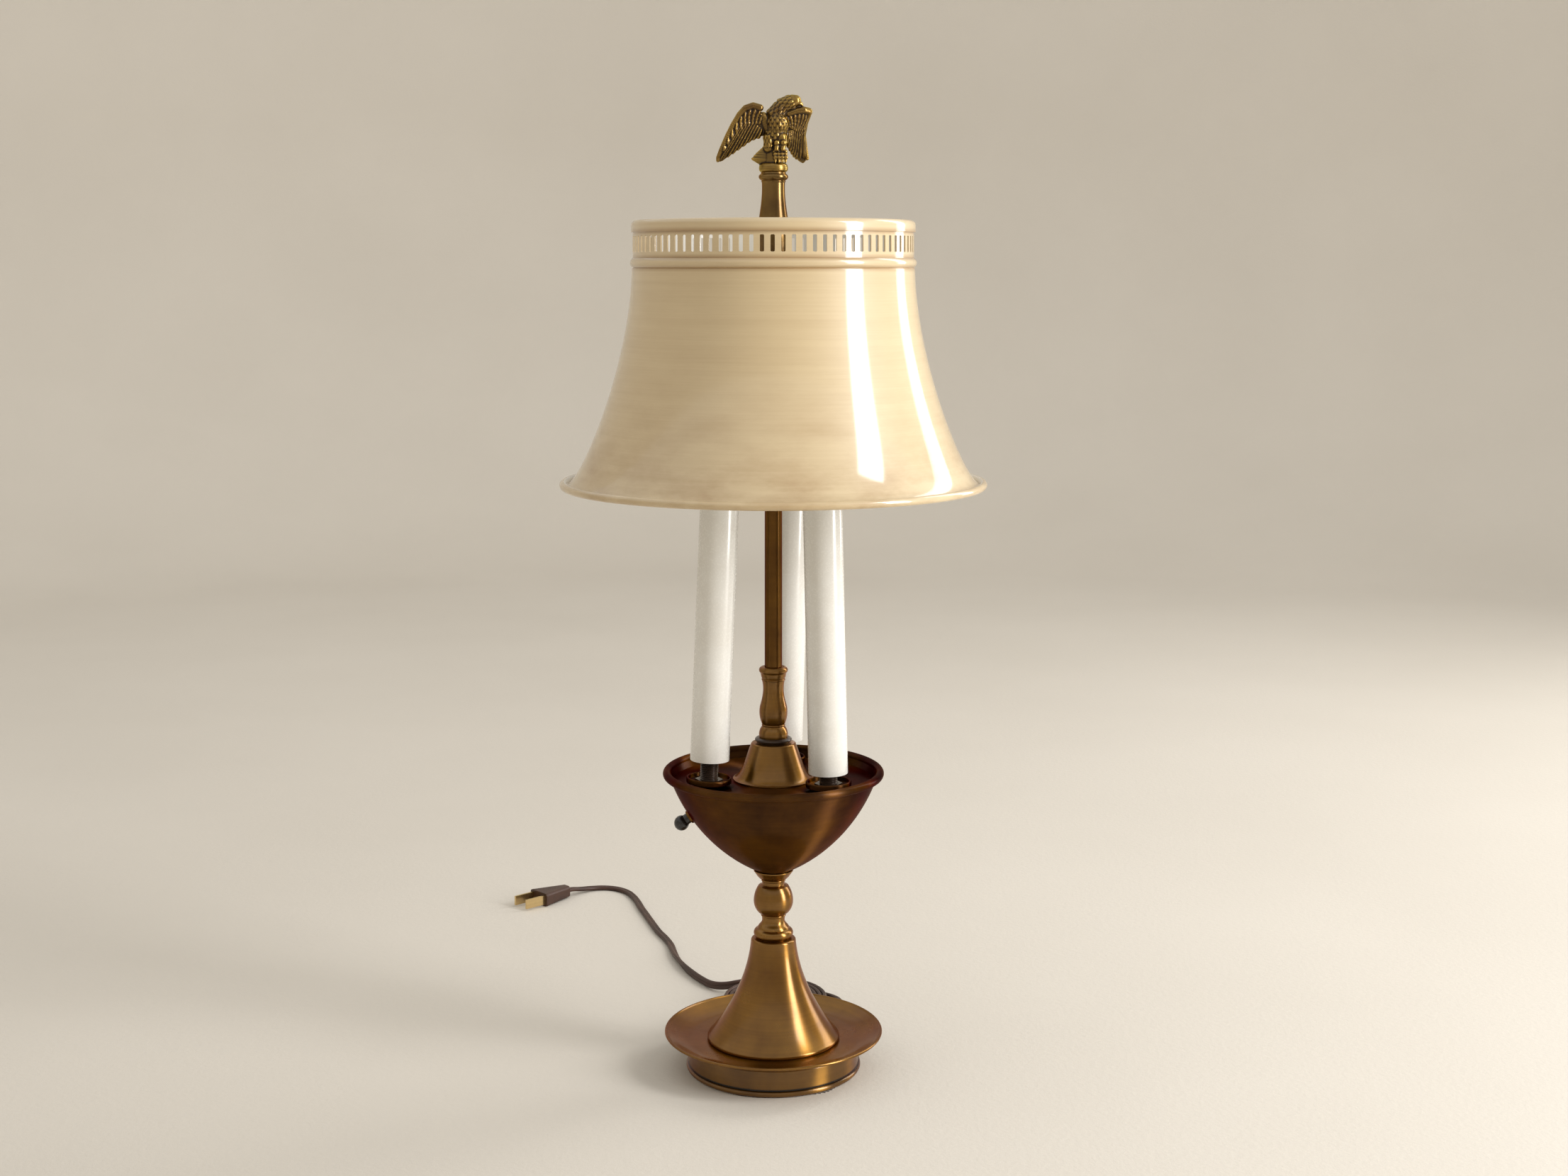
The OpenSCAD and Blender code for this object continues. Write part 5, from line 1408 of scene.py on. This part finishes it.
    def rock(self) -> None:
        """Adds the turned foot of the casting, the layered rock and the claws that grip it."""
        profile = ((7.0, 0.0), (7.2, 0.0), (8.1, 0.9), (8.3, 2.4), (8.0, 4.0), (7.2, 4.9), (5.5, 5.2))
        self.add(*skin([circle(r, z, 64) for r, z in profile]))
        heart, low, high = Vector(self.rock_heart), Vector(self.prow[0]), Vector(self.prow[1])
        self.limb(heart, 6.7, moved(heart, 0, 0, 9), 5.4)
        for k in range(self.rock_ridges):
            t = k / (self.rock_ridges - 1)
            root, edge = moved(heart, -0.4, 0, 1.2 + 7.6 * t), low.lerp(high, t)
            self.limb(root, 5.9 - 1.3 * t, moved(edge, 0, 0, 0.25 * math.sin(5 * t)), 0.85, 20)
            self.limb(moved(root, 0, 1.6, 0), 5.0 - 1.0 * t, moved(edge, 0.9, 2.6, 0), 0.8, 20)
        for k in range(self.claws):
            x = 0.9 + 1.95 * k
            self.ball((x, -5.4, 11.4), 1.35)
            self.ball((x + 0.1, -6.6, 9.9), 1.2)
            self.ball((x + 0.3, -7.2, 8.0), 1.25)
            self.limb((x + 0.3, -7.2, 7.6), 0.85, (x + 0.3, -7.9, 5.2), 0.35, 8)
        for x in (2.0, 5.6):
            self.ball((x, -6.0, 16.4), 1.75)
            self.limb((x, -5.4, 16), 1.5, (x - 0.3, -6.1, 12.8), 1.35, 8)

    def melt(self) -> Mesh:
        """Melts the clay into one skin and marks how deep each point of it lies.

        Returns:
            the casting, in metres, with 0 in its recesses and 1 on its high places in the attribute "rubbed".
        """
        holder = new_object("eagle_clay", mesh_of("eagle_clay", self.points, self.faces, 1.0))
        remesh = holder.modifiers.new("remesh", "REMESH")
        remesh.mode, remesh.voxel_size = "VOXEL", self.voxel
        smooth = holder.modifiers.new("smooth", "SMOOTH")
        smooth.factor, smooth.iterations = 0.5, 1
        evaluated = holder.evaluated_get(bpy.context.evaluated_depsgraph_get())
        mesh = bpy.data.meshes.new_from_object(evaluated)
        bpy.data.objects.remove(holder)
        work = bmesh.new()
        work.from_mesh(mesh)
        places = [v.co.copy() for v in work.verts]
        normals = [v.normal.copy() for v in work.verts]
        axes = {f"use_axis_{axis}": True for axis in "xyz"}
        for _ in range(self.depth_rounds):
            bmesh.ops.smooth_vert(work, verts=work.verts, factor=0.5, **axes)
        depth = [(p - v.co).dot(n) for p, n, v in zip(places, normals, work.verts)]
        work.free()
        # Recesses get 0 here; the finish darkens them, partly as patina and partly as painted shade.
        attribute = mesh.attributes.new("worn_high_shaded_low", "FLOAT", "POINT")
        worn_high_shaded_low = [min(1.0, max(0.0, 0.5 + d / self.depth_span)) for d in depth]
        attribute.data.foreach_set("value", worn_high_shaded_low)
        mesh.transform(Matrix.Translation((0, 0, self.foot * MM)) @ Matrix.Scale(MM, 4))
        for polygon in mesh.polygons:
            polygon.use_smooth = True
        mesh.name = "eagle_casting"
        return mesh

    def build(self, shop: Workshop) -> None:
        """Builds and dresses the eagle."""
        self.rock()
        self.body()
        self.plumage()
        for wing in (self.left_wing, self.right_wing):
            self.wing(wing)
        mesh = self.melt()
        # This finish darkens the recesses, partly as the casting's patina and partly as painted shade.
        finish = Brass(
            "eagle_brass", (0.62, 0.40, 0.085), (0.16, 0.075, 0.018), (0.12, 0.20),
            cover=0.51, rings=60.0, depth=0.00002, recess="worn_high_shaded_low",
        )
        mesh.materials.clear()
        mesh.materials.append(finish.material())
        shop.place(new_object("eagle_casting", mesh), Body.FINIAL, Slot.FINIAL_BRASS, "finial_eagle")


@dataclass
class MainsCord:
    """The flat two-core cord: its lead, its tied coil close behind the base, and its run to the plug."""

    width: float = 4.8
    thick: float = 2.6
    exit_az: float = 60.0
    inlet_z: float = 8.0
    sleeve_end: float = 69.6
    coil_in_r: float = 21.0
    step: float = 2.9
    layer: float = 5.3
    turns_in: float = 4.0
    turns_out: float = 3.6
    turn_points: int = 36
    start_az: float = 60.0
    dip: float = 0.6
    centre: Point3 = (0.0, 84.7, 3.125)
    lead: tuple[Point3, ...] = ((39.6, 73.4, 7.4), (39.9, 83.6, 6.3), (36.9, 93.6, 4.9), (31.2, 102.0, 3.8))
    run: tuple[Point3, ...] = (
        (-15.0, 116.4, 7.8), (-22.5, 116.6, 6.5), (-29.5, 118.0, 4.9), (-35.5, 121.6, 3.6),
        (-40.5, 127.0, 2.8), (-44.5, 133.2, 2.6), (-49.0, 141.0, 2.55), (-54.0, 151.0, 2.55),
        (-58.0, 161.0, 2.45), (-61.5, 172.0, 2.25), (-64.5, 183.0, 2.0), (-67.0, 195.0, 1.7),
        (-69.5, 208.0, 1.5), (-73.5, 221.0, 1.5), (-78.5, 234.0, 1.5), (-82.5, 247.0, 1.5),
        (-86.5, 261.0, 1.5), (-90.5, 275.0, 1.5), (-94.5, 289.0, 1.5), (-98.0, 303.0, 1.5),
        (-102.0, 315.5, 1.5), (-107.0, 326.0, 1.5), (-114.5, 333.5, 1.5), (-124.0, 336.5, 1.6),
        (-133.5, 334.0, 2.0), (-141.0, 328.0, 3.1),
    )
    flat_from: int = 8
    flat_by: int = 13
    plug_at: Point3 = (-150.0, 319.4, 4.5)
    plug_az: float = 224.0

    def direction(self, azimuth: float) -> Vector:
        """Level direction at an azimuth in degrees."""
        a = math.radians(azimuth)
        return Vector((math.cos(a), math.sin(a), 0))

    def coil_point(self, angle: float) -> Vector:
        """A point on the coil at a turning angle in degrees."""
        inward = 360 * self.turns_in
        if angle <= inward:
            radius = self.coil_in_r + self.step * self.turns_in - self.step * angle / 360
        elif angle <= inward + 180:
            radius = self.coil_in_r - self.dip * math.sin(math.radians(angle - inward))
        else:
            radius = self.coil_in_r + self.step * (angle - inward - 180) / 360
        height = self.layer * min(1.0, max(0.0, (angle - inward) / 180))
        return Vector(self.centre) + self.direction(self.start_az + angle) * radius + Vector((0, 0, height))

    def coil_way(self, angle: float) -> Vector:
        """The way the cord goes round the coil at a turning angle."""
        return self.direction(self.start_az + angle + 90)

    def route(self) -> tuple[list[Vector], list[float]]:
        """The cord's route.

        Returns:
            its points, in millimetres, and at each how far it has turned from its edge onto its flat.
        """
        out = self.direction(self.exit_az)
        start = out * self.sleeve_end + Vector((0, 0, self.inlet_z))
        whole = 360 * self.turns_in + 180 + 360 * self.turns_out
        first = self.coil_point(0) - self.coil_way(0) * self.width
        last = self.coil_point(whole) + self.coil_way(whole) * self.width
        lead = [start, start + out * self.width, *(Vector(p) for p in self.lead), first]
        rings = round(whole / 360 * self.turn_points)
        coil = [self.coil_point(whole * i / rings) for i in range(rings + 1)]
        end = Vector(self.plug_at)
        run = [last, *(Vector(p) for p in self.run), end - self.direction(self.plug_az) * self.width, end]
        flattened = self.flat_by - self.flat_from
        turned = [min(1.0, max(0.0, (i - self.flat_from) / flattened)) for i in range(len(run))]
        lead, _ = self.smooth(lead, [0.0] * len(lead))
        run, turned = self.smooth(run, turned)
        return [*lead[:-1], first, *coil, *run], [0.0] * (len(lead) + len(coil)) + turned

    @staticmethod
    def smooth(points: list[Vector], turned: list[float], steps: int = 4) -> tuple[list[Vector], list[float]]:
        """A smooth curve through points.

        Args:
            points: the points.
            turned: a value at each.
            steps: stretches between two points.

        Returns:
            the points and values on the curve.
        """
        out, values = [], []
        last = len(points) - 1
        for i in range(last):
            a, b, c, d = points[max(i - 1, 0)], points[i], points[i + 1], points[min(i + 2, last)]
            for k in range(steps):
                t = k / steps
                p = b * 2 + (c - a) * t + (a * 2 - b * 5 + c * 4 - d) * t * t + (b * 3 - a - c * 3 + d) * t**3
                out.append(p / 2)
                values.append(turned[i] * (1 - t) + turned[i + 1] * t)
        return [*out, points[-1]], [*values, turned[-1]]

    def section(self) -> list[Point2]:
        """Section of the cord: two round cores side by side, with a groove between them."""
        r, off = self.thick / 2, (self.width - self.thick) / 2
        angles = (math.radians(degrees) for degrees in range(-120, 121, 24))
        right = [(off + r * math.cos(a), r * math.sin(a)) for a in angles]
        return [*right, (0.0, r * 0.68), *((-x, -y) for x, y in right), (0.0, -r * 0.68)]

    def build(self, shop: Workshop) -> None:
        points, turned = self.route()
        section = self.section()
        rings = []
        last = len(points) - 1
        for i, p in enumerate(points):
            way = (points[min(i + 1, last)] - points[max(i - 1, 0)]).normalized()
            if i == last:
                way = self.direction(self.plug_az)
            side = Vector((-way.y, way.x, 0)).normalized()
            up = way.cross(side)
            roll = math.radians(90 - 90 * turned[i])
            c, s = math.cos(roll), math.sin(roll)
            rings.append([p + side * (x * c - y * s) + up * (x * s + y * c) for x, y in section])
        mesh = mesh_of("mains_cord", *skin(rings))
        finish_mesh(mesh, 40)
        cord = new_object("mains_cord", mesh)
        shop.place(cord, Body.STAND, Slot.CORD_BROWN, "cord_lead", "cord_coil", "cord_run")


@dataclass(frozen=True)
class Window:
    """A soft rectangular lamp that faces the middle of the object.

    Attributes:
        name: its name.
        at: its place, in metres.
        size: its width and height, in metres.
        watts: its power.
        colour: its light's colour.
    """

    name: str
    at: Point3
    size: tuple[float, float]
    watts: float
    colour: Colour


@dataclass
class Studio:
    """Camera, windows, floor and backdrop, in metres."""

    eye: Point3 = (0.006, -1.2, 0.453)
    sensor: float = 36.0
    focal_px: float = 2986.0
    image: tuple[int, int] = (2212, 1659)
    horizon: float = 375.0
    target: Point3 = (0.0, 0.0, 0.28)
    windows: tuple[Window, ...] = (
        Window("window_near", (1.38, -0.60, 0.72), (0.42, 1.35), 23.0, (1.0, 0.99, 0.98)),
        Window("window_far", (1.27, 0.79, 0.85), (0.40, 1.5), 9.0, (1.0, 0.98, 0.95)),
    )
    sky_colour: Colour = (1.0, 0.97, 0.92)
    sky_strength: float = 0.8
    floor_r: float = 1.9
    sweep_r: float = 0.7
    wall_top: float = 1.6
    sides: int = 96

    def camera(self) -> None:
        """Makes the level camera with the photograph's framing."""
        data = bpy.data.cameras.new("camera")
        data.sensor_width = self.sensor
        data.lens = self.focal_px / self.image[0] * self.sensor
        data.shift_y = (self.horizon - self.image[1] / 2) / self.image[0]
        data.clip_start, data.clip_end = 0.05, 50
        camera = new_object("camera", data)
        camera.location = self.eye
        camera.rotation_euler = (math.pi / 2, 0, 0)
        bpy.context.scene.camera = camera

    def light(self, window: Window) -> None:
        """Makes the lamp of a window."""
        light = bpy.data.lights.new(window.name, "AREA")
        light.shape = "RECTANGLE"
        light.size, light.size_y = window.size
        light.energy = window.watts
        light.color = window.colour
        lamp = new_object(window.name, light)
        lamp.location = window.at
        lamp.rotation_euler = (Vector(self.target) - Vector(window.at)).to_track_quat("-Z", "Y").to_euler()

    def backdrop(self) -> None:
        """Makes the pale floor, which rises into a round wall far behind the lamp on every side."""
        s = Shader("pale_backdrop")
        cloud = s.noise(s.place, 3, 3, 0.5)
        grain = s.noise(s.place, 260, 3, 0.6)
        tone = s.ramp(cloud, (0.3, (0.66, 0.62, 0.555)), (0.7, (0.69, 0.65, 0.585)))
        s.set(Base_Color=tone, Roughness=0.85)
        s.bump(grain, 0.0006, 0.35)
        wall = (self.floor_r + self.sweep_r, self.wall_top)
        sweep = [(0.0, 0.0), *arc((self.floor_r, self.sweep_r), self.sweep_r, -90, 0, 24), wall]
        rings = [circle(r, z, self.sides) for r, z in reversed(sweep)]
        mesh = mesh_of("backdrop", *skin(rings, capped=False), 1.0)
        finish_mesh(mesh, 60, outward=False)
        backdrop = new_object("backdrop", mesh)
        backdrop.data.materials.append(s.material)

    def sky(self) -> None:
        """Makes the soft light that comes in over the wall."""
        world = bpy.data.worlds.new("studio")
        world.use_nodes = True
        inputs = world.node_tree.nodes["Background"].inputs
        inputs["Color"].default_value = (*self.sky_colour, 1)
        inputs["Strength"].default_value = self.sky_strength
        bpy.context.scene.world = world

    def build(self) -> None:
        """Builds the studio."""
        self.camera()
        bpy.context.scene.view_settings.view_transform = "Standard"
        for window in self.windows:
            self.light(window)
        self.backdrop()
        self.sky()


def main() -> None:
    """Builds the lamp, in order."""
    logging.basicConfig(level=logging.INFO, format="%(name)s: %(message)s")
    Studio().build()
    shop = Workshop(frame["nodes"])
    MainsCord().build(shop)
    for part in (Foot(), Stem(), Neck(), Candles(), Shade(), Finial(), Eagle()):
        part.build(shop)


if __name__ == "__main__":
    main()
